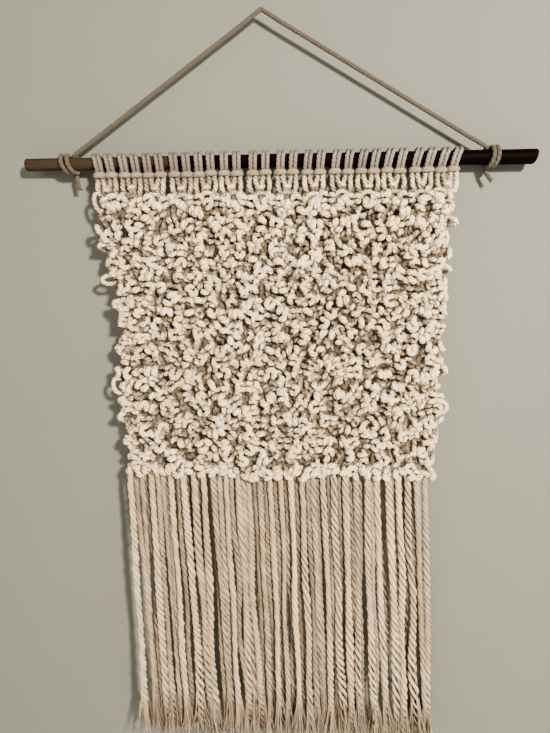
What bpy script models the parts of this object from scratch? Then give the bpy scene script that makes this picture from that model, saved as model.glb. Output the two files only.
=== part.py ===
"""Macrame wall hanging on a wooden rod, in metres, +Z up, front towards -Y.

The origin is the point where the hanging cord rests on the wall's nail. The rod hangs below it, a
little lower at its right end. Twenty-eight cords are folded in half over the rod, and their ends
are knotted into one net that narrows downwards and ends in a fringe of free cords.
"""

import math
import random

import bmesh
import bpy
from mathutils import Matrix, Vector

MM = 0.001
NAME = "macrame_wall_hanging"
GAP = 0.3 * MM

# Rod: its axis lies in the plane y = 0, and it thickens from left to right
ROD_LEFT = Vector((-237.0, 0.0, -130.6)) * MM
ROD_RIGHT = Vector((262.8, 0.0, -145.9)) * MM
ROD_LEFT_RADIUS = 5.75 * MM
ROD_RIGHT_RADIUS = 7.2 * MM
ROD_END_SLANT = 0.34
ROD_EDGE = 0.9 * MM
ROD_SIDES = 24

# Cotton cord
ROPE = 4.6 * MM
HANGING_ROPE = 4.3 * MM

# Hanging cord: two turns at each end of the rod, tops of the turns along the rod
LEFT_TURNS_X = -188.6 * MM
RIGHT_TURNS_X = 216.0 * MM
TURN_PITCH = 5.9 * MM
TURN_POINTS = 11
LEG_STEP = 24.0 * MM
NAIL_BEND = (2.2 * MM, 0.9 * MM)
CROSSING_LIFT = 1.75 * HANGING_ROPE
CROSSING_SHARES = (0.25, 0.5, 0.75, 1.0)
TAIL = 17.0 * MM
TAIL_LEAN = (1.5 * MM, 1.2 * MM)
TAIL_SHARES = (0.35, 0.7, 1.0)

# Mounted cords: fourteen pairs, each pair meeting in one square knot of the first row
#        centre    spacing   lean of the loops over the rod, all along the rod in mm
PAIRS = (
    (-157.2, 11.0, -5.8),
    (-133.1, 11.2, -4.6),
    (-110.4, 11.6, -3.4),
    (-84.9, 11.9, -2.0),
    (-61.6, 11.5, -0.8),
    (-37.0, 12.0, 0.5),
    (-9.6, 12.1, 1.8),
    (16.8, 12.1, 3.2),
    (42.9, 12.3, 4.6),
    (69.7, 12.4, 6.0),
    (94.8, 12.2, 7.4),
    (119.9, 12.3, 8.8),
    (147.0, 12.4, 10.2),
    (171.7, 12.0, 11.6),
)
HEAD_HALF_WIDTH = 4.75 * MM
HEAD_STEP = 45.0
BAR_HALF_WIDTH = 5.35 * MM
BAR_DROP = 14.6 * MM
BAR_TO_PANEL = 3.2 * MM
#        y      z from the bar's middle, outward y and z, half thickness in mm, half width
BAR = (
    (3.4, -0.8, 0.45, -0.9, 1.7, HEAD_HALF_WIDTH),
    (-1.6, -0.4, -0.8, -0.6, 2.3, BAR_HALF_WIDTH),
    (-1.4, 2.4, -0.9, 0.44, 2.3, BAR_HALF_WIDTH),
)
#        corners of a ring, in half widths and half thicknesses
ROPES_RING = ((-0.92, -1.0), (-0.95, 0.55), (0.0, 0.8), (0.95, 0.55), (0.92, -1.0))
BAR_RING = ((-0.75, -1.0), (-1.0, 0.4), (0.0, 1.15), (1.0, 0.4), (0.75, -1.0))

# Knotted panel: its edges by height, its bottom line and its thickness
#         z       left     right, in mm
EDGES = (
    (-166.0, -167.0, 181.5),
    (-190.0, -170.0, 179.0),
    (-222.0, -168.5, 177.0),
    (-252.0, -168.0, 172.5),
    (-282.0, -160.5, 168.0),
    (-315.0, -157.5, 165.5),
    (-347.0, -162.0, 165.0),
    (-377.0, -160.5, 165.8),
    (-406.0, -155.0, 165.5),
    (-436.0, -160.5, 156.5),
    (-470.0, -160.5, 150.5),
)
ROWS = 22
PANEL_BOTTOM_LEFT = -441.0 * MM
PANEL_BOTTOM_RIGHT = -456.0 * MM
PANEL_BOTTOM_WAVE = 3.0 * MM
PANEL_Y = -8.5 * MM
KNOT_DEPTH = 11.0 * MM
HOLLOW_DEPTH = 4.2 * MM
BACK_DEPTH = 0.7
KNOT_VARIATION = 1.4 * MM
EDGE_DEPTH = 2.8 * MM
EDGE_KNOT = 2.6 * MM
TAB_HALF_WIDTH = 9.6 * MM
TAB_ROWS = 2
TAB_DEPTH = 3.1 * MM

# Fringe
STRANDS = 56
STRAND = 5.2 * MM
STRAND_SIDES = 6
STRAND_RINGS = 3
STRAND_STAGGER = 2.9 * MM
STRAND_DRIFT = 1.6 * MM
STRAND_WANDER = 0.5 * MM
FRINGE_HEADER = 7.0 * MM
HEADER_MARGIN = 1.0 * MM
FRINGE_GAP = 0.6 * MM
FRINGE_BOTTOM_LEFT = -712.0 * MM
FRINGE_BOTTOM_RIGHT = -752.0 * MM
FRINGE_RAGGED = 9.0 * MM
FRINGE_LEFT = (-157.0 * MM, -161.5 * MM)
FRINGE_RIGHT = (147.5 * MM, 146.5 * MM)

COTTON = (0.74, 0.67, 0.56)
SHADED_COTTON = (0.70, 0.63, 0.52)
DARK_WOOD = (0.045, 0.026, 0.020)


def clear_scene():
    for old in list(bpy.data.objects):
        bpy.data.objects.remove(old, do_unlink=True)


def new_collection(name):
    collection = bpy.data.collections.new(name)
    bpy.context.scene.collection.children.link(collection)
    return collection


def principled(name, colour, roughness):
    material = bpy.data.materials.new(name)
    material.use_nodes = True
    shader = material.node_tree.nodes["Principled BSDF"]
    shader.inputs["Base Color"].default_value = (*colour, 1.0)
    shader.inputs["Roughness"].default_value = roughness
    shader.inputs["Metallic"].default_value = 0.0
    return material


def mesh_object(name, mesh, collection, material):
    obj = bpy.data.objects.new(name, mesh)
    obj.data.materials.clear()
    obj.data.materials.append(material)
    collection.objects.link(obj)
    return obj


def bmesh_object(name, bm, collection, material):
    mesh = bpy.data.meshes.new(name)
    bmesh.ops.recalc_face_normals(bm, faces=bm.faces)
    bm.to_mesh(mesh)
    bm.free()
    return mesh_object(name, mesh, collection, material)


def lerp(low, high, share):
    return low + (high - low) * share


def rod_share(x):
    return (x - ROD_LEFT.x) / (ROD_RIGHT.x - ROD_LEFT.x)


def rod_axis(x):
    """The point of the rod's axis at x."""
    return ROD_LEFT.lerp(ROD_RIGHT, rod_share(x))


def rod_radius(x):
    return lerp(ROD_LEFT_RADIUS, ROD_RIGHT_RADIUS, rod_share(x))


def build_rod(collection):
    """A tapered stick along its axis, its right end cut at a slant, its edges eased."""
    length = (ROD_RIGHT - ROD_LEFT).length
    bm = bmesh.new()
    bmesh.ops.create_cone(
        bm,
        cap_ends=True,
        segments=ROD_SIDES,
        radius1=ROD_LEFT_RADIUS,
        radius2=ROD_RIGHT_RADIUS,
        depth=length,
        matrix=Matrix.Rotation(math.radians(90.0), 4, "Y"),
    )
    for vert in bm.verts:
        if vert.co.x > 0.0:
            vert.co.x += ROD_END_SLANT * vert.co.z
    rod = bmesh_object("rod", bm, collection, principled("dark_wood", DARK_WOOD, 0.45))
    direction = (ROD_RIGHT - ROD_LEFT).normalized()
    rod.rotation_euler = (0.0, math.atan2(-direction.z, direction.x), 0.0)
    rod.location = (ROD_LEFT + ROD_RIGHT) / 2.0
    edge = rod.modifiers.new("eased_ends", "BEVEL")
    edge.width = ROD_EDGE
    edge.segments = 2
    edge.limit_method = "ANGLE"
    edge.angle_limit = math.radians(40.0)
    rod.data.shade_smooth()
    rod.data.set_sharp_from_angle(angle=math.radians(35.0))
    return rod


def around_rod(x, turn, clearance):
    """A point round the rod at x: turn 0 is its top, 0.25 its front, 0.5 its underside."""
    angle = 2.0 * math.pi * turn
    radius = rod_radius(x) + clearance
    return rod_axis(x) + Vector((0.0, -math.sin(angle), math.cos(angle))) * radius


def end_turns(top_x, outwards):
    """Two turns round the rod from the leg's side outwards, then the tail back under them.

    The cord comes down behind the rod, rises over its front while it steps outwards, and does so
    twice. Its tail crosses behind both turns and hangs from the rod's underside.
    """
    lift = HANGING_ROPE / 2.0 + GAP
    points = []
    steps = 2 * TURN_POINTS
    for step in range(steps + 1):
        wound = 2.0 * step / steps
        front = smooth(max((wound % 1.0 - 0.5) * 2.0, 0.0))
        x = top_x + outwards * TURN_PITCH * (math.floor(wound) + front)
        points.append(around_rod(x, -wound, lift))
    for share in CROSSING_SHARES:
        x = top_x + outwards * TURN_PITCH * 2.0 * (1.0 - 0.95 * share)
        behind = lerp(lift, CROSSING_LIFT, min(1.0, 2.0 * share))
        points.append(around_rod(x, -(0.04 + 0.42 * share), behind))
    end = points[-1]
    for share in TAIL_SHARES:
        points.append(end + Vector((-outwards * TAIL_LEAN[0], -TAIL_LEAN[1], -TAIL)) * share)
    return points


def smooth(share):
    return share * share * (3.0 - 2.0 * share)


def hanging_route():
    """The whole cord: left tail, turns, leg, over the nail, leg, turns and right tail."""
    left = end_turns(LEFT_TURNS_X, -1.0)
    right = end_turns(RIGHT_TURNS_X, 1.0)
    apex = Vector((0.0, 0.0, HANGING_ROPE / 2.0))
    points = list(reversed(left))
    points += leg_points(left[0], apex)
    points += nail_points(apex)
    points += leg_points(right[0], apex)[::-1]
    points += right
    return points


def leg_points(foot, apex):
    """Evenly spaced points between a leg's foot and the nail, without either."""
    reach = apex - foot
    count = int(reach.length / LEG_STEP)
    return [foot + reach * step / (count + 1) for step in range(1, count + 1)]


def nail_points(apex):
    """The short round bend over the nail."""
    side, drop = NAIL_BEND
    return [apex + Vector((-side, 0.0, -drop)), apex, apex + Vector((side, 0.0, -drop))]


def build_hanging_cord(collection):
    """One cord as a tube on its whole route."""
    curve = bpy.data.curves.new("hanging_cord", "CURVE")
    curve.dimensions = "3D"
    curve.bevel_depth = HANGING_ROPE / 2.0
    curve.bevel_resolution = 2
    curve.use_fill_caps = True
    route = hanging_route()
    spline = curve.splines.new("POLY")
    spline.points.add(len(route) - 1)
    for point, place in zip(spline.points, route):
        point.co = (*place, 1.0)
    cord = bpy.data.objects.new("hanging_cord", curve)
    curve.materials.append(principled("hanging_cotton", SHADED_COTTON, 0.9))
    collection.objects.link(cord)
    return cord


def head_sections(x, lean):
    """Rings of a lark's head as (centre, outward direction, half thickness, half width).

    Seven stations follow the rod from its front over the top to its underside, and three more
    make the bar that crosses the cords below the rod.
    """
    sections = []
    half = ROPE / 2.0
    inner = (rod_radius(x) + GAP) / math.cos(math.radians(HEAD_STEP / 2.0))
    axis = rod_axis(x)
    for step in range(7):
        angle = math.radians(90.0 - HEAD_STEP * step)
        outward = Vector((0.0, -math.sin(angle), math.cos(angle)))
        shift = lean * (0.5 + 0.5 * math.cos(angle))
        centre = axis + outward * (inner + half) + Vector((shift, 0.0, 0.0))
        sections.append((centre, outward, half, HEAD_HALF_WIDTH))
    bar = axis + Vector((0.0, -inner - half, -BAR_DROP))
    for y, z, outward_y, outward_z, thickness, width in BAR:
        outward = Vector((0.0, outward_y, outward_z)).normalized()
        sections.append((bar + Vector((0.0, y, z)) * MM, outward, thickness * MM, width))
    return sections


def head_ring(section):
    """Five corners: two against the rod, two crests of the ropes and the groove between them."""
    centre, outward, half, width = section
    along = Vector((1.0, 0.0, 0.0))
    corners = BAR_RING if width > HEAD_HALF_WIDTH else ROPES_RING
    return [centre + along * (width * u) + outward * (half * v) for u, v in corners]


def build_larks_head(name, x, lean, collection, material):
    """A closed band round the rod: rings of five corners, joined in a loop."""
    bm = bmesh.new()
    rings = []
    for section in head_sections(x, lean):
        rings.append([bm.verts.new(corner) for corner in head_ring(section)])
    for ring, following in zip(rings, rings[1:] + rings[:1]):
        for corner in range(len(ring)):
            beside = (corner + 1) % len(ring)
            bm.faces.new((ring[corner], ring[beside], following[beside], following[corner]))
    return bmesh_object(name, bm, collection, material)


def build_larks_heads(collection):
    material = principled("mounted_cotton", COTTON, 0.9)
    number = 0
    for centre, spacing, lean in PAIRS:
        for side in (-0.5, 0.5):
            number += 1
            x = (centre + side * spacing) * MM
            build_larks_head(f"larks_head_{number:02d}", x, lean * MM, collection, material)


def edge_at(z, column):
    """The panel's left or right edge at height z, straight between the rows of EDGES."""
    height = z / MM
    for upper, lower in zip(EDGES, EDGES[1:]):
        if height >= lower[0]:
            share = min(max((upper[0] - height) / (upper[0] - lower[0]), 0.0), 1.0)
            return lerp(upper[column], lower[column], share) * MM
    return EDGES[-1][column] * MM


def panel_bottom(x):
    """The uneven line of the last knots, lower at the right."""
    share = (x - edge_at(-0.44, 1)) / (edge_at(-0.44, 2) - edge_at(-0.44, 1))
    wave = math.sin(11.0 * share) + 0.6 * math.sin(27.0 * share + 1.0)
    return lerp(PANEL_BOTTOM_LEFT, PANEL_BOTTOM_RIGHT, share) + PANEL_BOTTOM_WAVE * wave


def panel_top(x):
    """Just under the lark's heads' bars."""
    return rod_axis(x).z - BAR_DROP - BAR_TO_PANEL


def top_columns():
    """The panel's column lines at its top: both sides and the middle of each pair's tab."""
    lines = []
    for centre, spacing, lean in PAIRS:
        for offset in (-TAB_HALF_WIDTH, 0.0, TAB_HALF_WIDTH):
            lines.append(centre * MM + offset)
    return lines


def panel_grid():
    """Grid of (x, z) points: columns fan in from the top's lines to the panel's own edges."""
    lines = top_columns()
    shares = [(x - lines[0]) / (lines[-1] - lines[0]) for x in lines]
    grid = []
    for row in range(ROWS + 1):
        down = row / ROWS
        points = []
        for x_top, share in zip(lines, shares):
            z = lerp(panel_top(x_top), panel_bottom(x_top), down)
            x = lerp(edge_at(z, 1), edge_at(z, 2), share)
            x = lerp(x_top, x, smooth(min(1.0, row / (TAB_ROWS + 2.0))))
            z = lerp(panel_top(x_top), panel_bottom(x), down)
            points.append([x, z])
        if row > TAB_ROWS:
            stand = EDGE_KNOT * math.cos(math.pi * row)
            points[0][0] -= stand
            points[-1][0] += stand
        grid.append(points)
    return grid


def knot_depths(random_source):
    """Half depth at each grid point: knots alternate with hollows in rows and columns."""
    depths = []
    for row in range(ROWS + 1):
        line = []
        for column in range(3 * len(PAIRS)):
            phase = math.cos(2.0 * math.pi * (column - 1) / 3.0) * math.cos(math.pi * row)
            depth = lerp(HOLLOW_DEPTH, KNOT_DEPTH, 0.5 + 0.5 * phase)
            line.append(depth + random_source.uniform(-KNOT_VARIATION, KNOT_VARIATION))
        depths.append(line)
    return depths


def is_solid(column, row):
    """Whether the cell right of and below a grid point is cord: the top gaps are open."""
    between_tabs = column % 3 == 2
    return not (between_tabs and row < TAB_ROWS)


def build_knotted_panel(collection):
    """The net as one closed solid: a front and a back grid of knots, walled along every edge."""
    random_source = random.Random(28)
    grid = panel_grid()
    front = knot_depths(random_source)
    back = knot_depths(random_source)
    columns = 3 * len(PAIRS) - 1
    bm = bmesh.new()
    verts = {}

    def vertex(side, column, row):
        key = (side, column, row)
        if key not in verts:
            x, z = grid[row][column]
            top = smooth(min(1.0, row / TAB_ROWS))
            depth = front[row][column] if side < 0 else BACK_DEPTH * back[row][column]
            depth = lerp(TAB_DEPTH, depth, top)
            if column in (0, columns):
                depth = EDGE_DEPTH
            verts[key] = bm.verts.new((x, PANEL_Y + side * depth, z))
        return verts[key]

    def wall(start, end):
        bm.faces.new((vertex(-1, *start), vertex(-1, *end), vertex(1, *end), vertex(1, *start)))

    def skin(side, corners):
        """Two triangles, folded along the cell's deeper diagonal so that knots stand up."""
        a, b, c, d = (vertex(side, *corner) for corner in corners)
        a_to_c = abs(a.co.y - PANEL_Y) + abs(c.co.y - PANEL_Y)
        b_to_d = abs(b.co.y - PANEL_Y) + abs(d.co.y - PANEL_Y)
        pair = ((a, b, c), (a, c, d)) if a_to_c < b_to_d else ((a, b, d), (b, c, d))
        for face in pair:
            bm.faces.new(face)

    for row in range(ROWS):
        for column in range(columns):
            if not is_solid(column, row):
                continue
            corners = ((column, row), (column + 1, row), (column + 1, row + 1), (column, row + 1))
            skin(-1, corners)
            skin(1, corners)
            if row == 0 or not is_solid(column, row - 1):
                wall(corners[0], corners[1])
            if row == ROWS - 1:
                wall(corners[2], corners[3])
            if column == 0 or not is_solid(column - 1, row):
                wall(corners[3], corners[0])
            if column == columns - 1 or not is_solid(column + 1, row):
                wall(corners[1], corners[2])
    return bmesh_object("knotted_panel", bm, collection, principled("knotted_cotton", COTTON, 0.9))


def strand_ring(bm, centre, radius, turn):
    ring = []
    for side in range(STRAND_SIDES):
        angle = 2.0 * math.pi * (side + turn) / STRAND_SIDES
        place = centre + Vector((math.cos(angle), math.sin(angle), 0.0)) * radius
        ring.append(bm.verts.new(place))
    return ring


def add_strand(bm, number, random_source):
    """One cord of the fringe: a six-sided tube that wanders a little on its way down."""
    share = (number + 0.5) / STRANDS
    top_x = lerp(FRINGE_LEFT[0], FRINGE_RIGHT[0], share)
    low_x = lerp(FRINGE_LEFT[1], FRINGE_RIGHT[1], share)
    top_z = panel_bottom(top_x) - FRINGE_GAP - FRINGE_HEADER / 2.0
    low_z = lerp(FRINGE_BOTTOM_LEFT, FRINGE_BOTTOM_RIGHT, share)
    low_z += random_source.uniform(-FRINGE_RAGGED, FRINGE_RAGGED)
    stagger = STRAND_STAGGER if number % 2 else -STRAND_STAGGER
    rings = []
    for level in range(STRAND_RINGS + 1):
        down = level / STRAND_RINGS
        drift = STRAND_DRIFT * math.sin(9.0 * share + 4.0 * down) * down
        wander = random_source.uniform(-STRAND_WANDER, STRAND_WANDER) * min(1.0, 2.0 * down)
        x = lerp(top_x, low_x, down) + drift + wander
        centre = Vector((x, PANEL_Y + stagger, lerp(top_z, low_z, down)))
        radius = STRAND / 2.0 * (0.8 if level == STRAND_RINGS else 1.0)
        rings.append(strand_ring(bm, centre, radius, 0.5))
    for ring, lower in zip(rings, rings[1:]):
        for side in range(STRAND_SIDES):
            beside = (side + 1) % STRAND_SIDES
            bm.faces.new((ring[side], ring[beside], lower[beside], lower[side]))
    bm.faces.new(rings[0])
    bm.faces.new(rings[-1])


def build_strands(cutters, material):
    random_source = random.Random(56)
    bm = bmesh.new()
    for number in range(STRANDS):
        add_strand(bm, number, random_source)
    strands = bmesh_object("fringe_strands", bm, cutters, material)
    strands.hide_render = True
    strands.display_type = "WIRE"
    return strands


def build_fringe_header(collection, material):
    """The cords' crowded tops, as a strip along the panel's lower line."""
    steps = STRANDS // 2
    half_depth = STRAND_STAGGER + 0.42 * STRAND
    left = FRINGE_LEFT[0] - HEADER_MARGIN
    right = FRINGE_RIGHT[0] + HEADER_MARGIN
    bm = bmesh.new()
    rings = []
    for step in range(steps + 1):
        x = lerp(left, right, step / steps)
        top = panel_bottom(x) - FRINGE_GAP
        ring = []
        for y, z in ((-1.0, 0.0), (1.0, 0.0), (1.0, -FRINGE_HEADER), (-1.0, -FRINGE_HEADER)):
            ring.append(bm.verts.new((x, PANEL_Y + y * half_depth, top + z)))
        rings.append(ring)
    for ring, following in zip(rings, rings[1:]):
        for corner in range(4):
            beside = (corner + 1) % 4
            bm.faces.new((ring[corner], ring[beside], following[beside], following[corner]))
    bm.faces.new(rings[0])
    bm.faces.new(rings[-1])
    return bmesh_object("fringe", bm, collection, material)


def build_fringe(collection, cutters):
    """A comb of free cords: the header strip with every cord joined to it."""
    material = principled("fringe_cotton", SHADED_COTTON, 0.92)
    fringe = build_fringe_header(collection, material)
    join = fringe.modifiers.new("strands", "BOOLEAN")
    join.operation = "UNION"
    join.solver = "EXACT"
    join.object = build_strands(cutters, material)
    return fringe


def main():
    clear_scene()
    collection = new_collection(NAME)
    cutters = new_collection("cutters")
    build_rod(collection)
    build_hanging_cord(collection)
    build_larks_heads(collection)
    build_knotted_panel(collection)
    build_fringe(collection, cutters)


main()
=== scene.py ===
"""Looks of the macrame wall hanging: twisted cotton cords, knots, fringe and rod, in metres.

Laid out as a Blender add-on and run as a script. Every cord is a surface worked out with numpy: a
ring with one crest for each strand, carried along a path and turned by the cord's lay.
"""

import math

import bpy
import numpy as np
from bpy.props import FloatProperty, FloatVectorProperty, IntProperty, PointerProperty
from mathutils import Matrix, Vector


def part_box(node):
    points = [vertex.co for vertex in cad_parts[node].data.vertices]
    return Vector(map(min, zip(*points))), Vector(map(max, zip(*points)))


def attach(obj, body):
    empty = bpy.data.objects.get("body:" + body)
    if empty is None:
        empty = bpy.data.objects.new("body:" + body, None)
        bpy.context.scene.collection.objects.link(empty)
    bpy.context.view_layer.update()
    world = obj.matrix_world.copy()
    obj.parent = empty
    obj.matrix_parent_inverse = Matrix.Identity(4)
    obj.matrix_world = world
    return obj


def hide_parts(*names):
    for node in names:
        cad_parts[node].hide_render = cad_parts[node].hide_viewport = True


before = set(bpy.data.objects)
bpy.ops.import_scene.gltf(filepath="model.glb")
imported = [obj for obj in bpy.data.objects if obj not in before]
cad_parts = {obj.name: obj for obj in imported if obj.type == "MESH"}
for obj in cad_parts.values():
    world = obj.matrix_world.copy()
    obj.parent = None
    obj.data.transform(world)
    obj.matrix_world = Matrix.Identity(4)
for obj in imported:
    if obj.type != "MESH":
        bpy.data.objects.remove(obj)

bl_info = {
    "name": "Macrame wall hanging",
    "version": (1, 0, 0),
    "blender": (4, 5, 0),
    "location": "3D View > Sidebar > Macrame",
    "description": "Twisted cotton cords, knots, fringe and rod of a macrame wall hanging",
    "category": "Add Mesh",
}

MM = 0.001
BODY = "root"
STRANDS_PER_CORD = 3
#   lark's heads, pairs of them, and ends that hang from them
HEADS, PAIRS, ENDS = 28, 14, 56
#   depth of the fringe's middle
FRINGE_Y = -8.5 * MM
#   how open cotton is where no hollows are worked out
UNSHADED = 0.72
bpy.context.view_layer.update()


# ---------------------------------------------------------------- settings


def length(name, description, default):
    """A setting in metres."""
    return FloatProperty(name=name, description=description, default=default, unit="LENGTH")


def number(name, description, default):
    """A setting without a unit."""
    return FloatProperty(name=name, description=description, default=default)


def whole(name, description, default):
    """A setting that is a whole number."""
    return IntProperty(name=name, description=description, default=default)


def colour(name, description, default):
    """A setting that is a colour."""
    return FloatVectorProperty(
        name=name, description=description, default=default, subtype="COLOR", size=3
    )


class CordSettings(bpy.types.PropertyGroup):
    """The cotton cord that everything but the rod is made of."""

    diameter: length("Cord", "Diameter of the knotted cord", 4.6 * MM)
    hanging_diameter: length("Hanging cord", "Diameter of the taut cord", 4.3 * MM)
    lay: length("Lay", "Length of one turn of the strands", 12.5 * MM)
    crest: number("Crest", "How far the strands stand out, as a share", 0.14)
    # cotton runs from the shade colour deep among the cords to the colour of its open places: painted
    # shade
    light: colour("Light cotton", "Open places of the net", (0.97, 0.805, 0.575))
    shade: colour("Shaded cotton", "Hidden places of every cord", (0.145, 0.110, 0.076))
    # a darker copy of the net's cotton: painted shade for the dimmer light at the top
    taut: colour("Taut cotton", "Open places of the lark's heads", (0.315, 0.276, 0.224))
    # a darker copy of the net's cotton: painted shade for the light falling off towards the bottom
    loose: colour("Loose cotton", "Open places of the fringe", (0.64, 0.515, 0.375))
    # the hanging cord's colour at its open places: grey, darker than every other cotton and than the
    # shaded colour
    hanging_grey: colour("Hanging cotton", "Open places of the hanging cord", (0.074, 0.071, 0.063))


class RodSettings(bpy.types.PropertyGroup):
    """The wooden rod."""

    dark: colour("Dark wood", "Darkest grain of the stained wood", (0.0024, 0.0009, 0.0006))
    raw: colour("Raw wood", "Palest grain of the raw wood", (0.070, 0.050, 0.034))
    change_x: length("Change", "Where raw wood turns dark", -92.0 * MM)


class NetSettings(bpy.types.PropertyGroup):
    """The knotted net."""

    rows: whole("Rows", "Rows of alternating knots", 24)
    seed: whole("Seed", "Seed of the knots' unevenness", 11)
    middle_y: length("Middle", "Depth of the net's middle", -8.5 * MM)
    first_row_drop: length("First row", "First knots below the bars", 13.5 * MM)
    plump: number("Plumpness", "Width of a bent cord, as a share", 1.22)
    raised: number("Raised knots", "Share of places with one", 0.70)
    stations: whole("Stations", "Rings along each cord of the net", 440)


class FringeSettings(bpy.types.PropertyGroup):
    """The free ends below the net."""

    seed: whole("Seed", "Seed of the cords' wandering", 56)
    strand: length("Strand", "Diameter of one strand", 3.9 * MM)
    lay: length("Lay", "Length of one loose turn", 19.0 * MM)


class StageSettings(bpy.types.PropertyGroup):
    """Lights and wall."""

    wall_y: length("Wall", "Depth of the wall behind the nail", 16.0 * MM)
    key_power: number("Key light", "Power of the key light", 47.0)
    fill_power: number("Fill light", "Power of the fill light", 11.0)


SETTINGS = {
    "macrame_cord": CordSettings,
    "macrame_rod": RodSettings,
    "macrame_net": NetSettings,
    "macrame_fringe": FringeSettings,
    "macrame_stage": StageSettings,
}


# ---------------------------------------------------------------- cords as surfaces

#   how far a cord's end point stands past its last ring, as a share of the radius
END_RISE = 0.35


def unit(vectors):
    """Vectors divided by their lengths."""
    return vectors / np.maximum(np.linalg.norm(vectors, axis=-1, keepdims=True), 1e-12)


def ease(share):
    """3s^2 - 2s^3: from 0 to 1 with no slope at either end."""
    return share * share * (3.0 - 2.0 * share)


def blend(low, high, share):
    """low + (high - low) share."""
    return low + (high - low) * share


def spline_weights(controls, stations):
    """Weights that turn control points into a smooth curve through all of them.

    Station t lies in segment i = floor(t) with s = t - i, and takes its four nearest control points
    with Catmull and Rom's cubic weights (-s + 2s^2 - s^3) / 2, (2 - 5s^2 + 3s^3) / 2,
    (s + 4s^2 - 3s^3) / 2 and (-s^2 + s^3) / 2. Past either end the end point is repeated.
    """
    t = np.linspace(0.0, controls - 1.0, stations)
    segment = np.minimum(t.astype(int), controls - 2)
    s = t - segment
    cubic = (
        (-s + 2.0 * s**2 - s**3) / 2.0,
        (2.0 - 5.0 * s**2 + 3.0 * s**3) / 2.0,
        (s + 4.0 * s**2 - 3.0 * s**3) / 2.0,
        (-(s**2) + s**3) / 2.0,
    )
    weights = np.zeros((stations, controls))
    for shift, weight in zip((-1, 0, 1, 2), cubic):
        nearest = np.clip(segment + shift, 0, controls - 1)
        np.add.at(weights, (np.arange(stations), nearest), weight)
    return weights


def smooth_paths(controls, stations):
    """Paths (K, stations, 3) through control points (K, M, 3)."""
    return np.einsum("sm,kmc->ksc", spline_weights(controls.shape[1], stations), controls)


def carried_frames(paths):
    """Tangent t, normal n and binormal t x n at every station of every path.

    The normal is carried on from each station to the next without twist: n less its part along the
    new t, made unit again.
    """
    tangents = unit(np.gradient(paths, axis=1))
    aside = np.where(np.abs(tangents[:, 0, 1:2]) < 0.8, [[0.0, 1.0, 0.0]], [[1.0, 0.0, 0.0]])
    normals = np.empty_like(paths)
    normals[:, 0] = unit(np.cross(tangents[:, 0], aside))
    for station in range(1, paths.shape[1]):
        carried = normals[:, station - 1]
        tangent = tangents[:, station]
        along = np.sum(carried * tangent, axis=-1, keepdims=True)
        normals[:, station] = unit(carried - along * tangent)
    return tangents, normals, np.cross(tangents, normals)


def path_runs(paths):
    """Distance along each path at each of its stations."""
    steps = np.linalg.norm(np.diff(paths, axis=1), axis=-1)
    return np.concatenate([np.zeros((len(paths), 1)), np.cumsum(steps, axis=1)], axis=1)


def cord_surfaces(paths, radii, sides, lay, crest, tones, strands=STRANDS_PER_CORD):
    """Closed surfaces of many cords at once, as a batch for join_batches.

    Around a cord the radius is r (1 - c - c cos(strands a)), with a from 0 to 2 pi over the ring's
    corners, and the whole ring is turned by -2 pi (run / lay + tone), so each groove winds between
    strands and no two cords start alike. Each end is closed to a low point.
    """
    stations = paths.shape[1]
    tangents, normals, binormals = carried_frames(paths)
    runs = path_runs(paths)
    around = np.arange(sides) / sides
    turn = 2.0 * math.pi * (around[None, None, :] - (runs / lay + tones[:, None])[:, :, None])
    crest = np.broadcast_to(crest, (1, stations))[..., None]
    reach = radii[:, :, None] * (1.0 - crest - crest * np.cos(2.0 * math.pi * strands * around))
    out, beside = normals[:, :, None], binormals[:, :, None]
    across = np.cos(turn)[..., None] * out + np.sin(turn)[..., None] * beside
    rings = paths[:, :, None] + reach[..., None] * across
    first = paths[:, 0] - END_RISE * radii[:, 0, None] * tangents[:, 0]
    last = paths[:, -1] + END_RISE * radii[:, -1, None] * tangents[:, -1]
    return tube_batch(rings, np.stack([first, last], axis=1), runs, tones)


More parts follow.
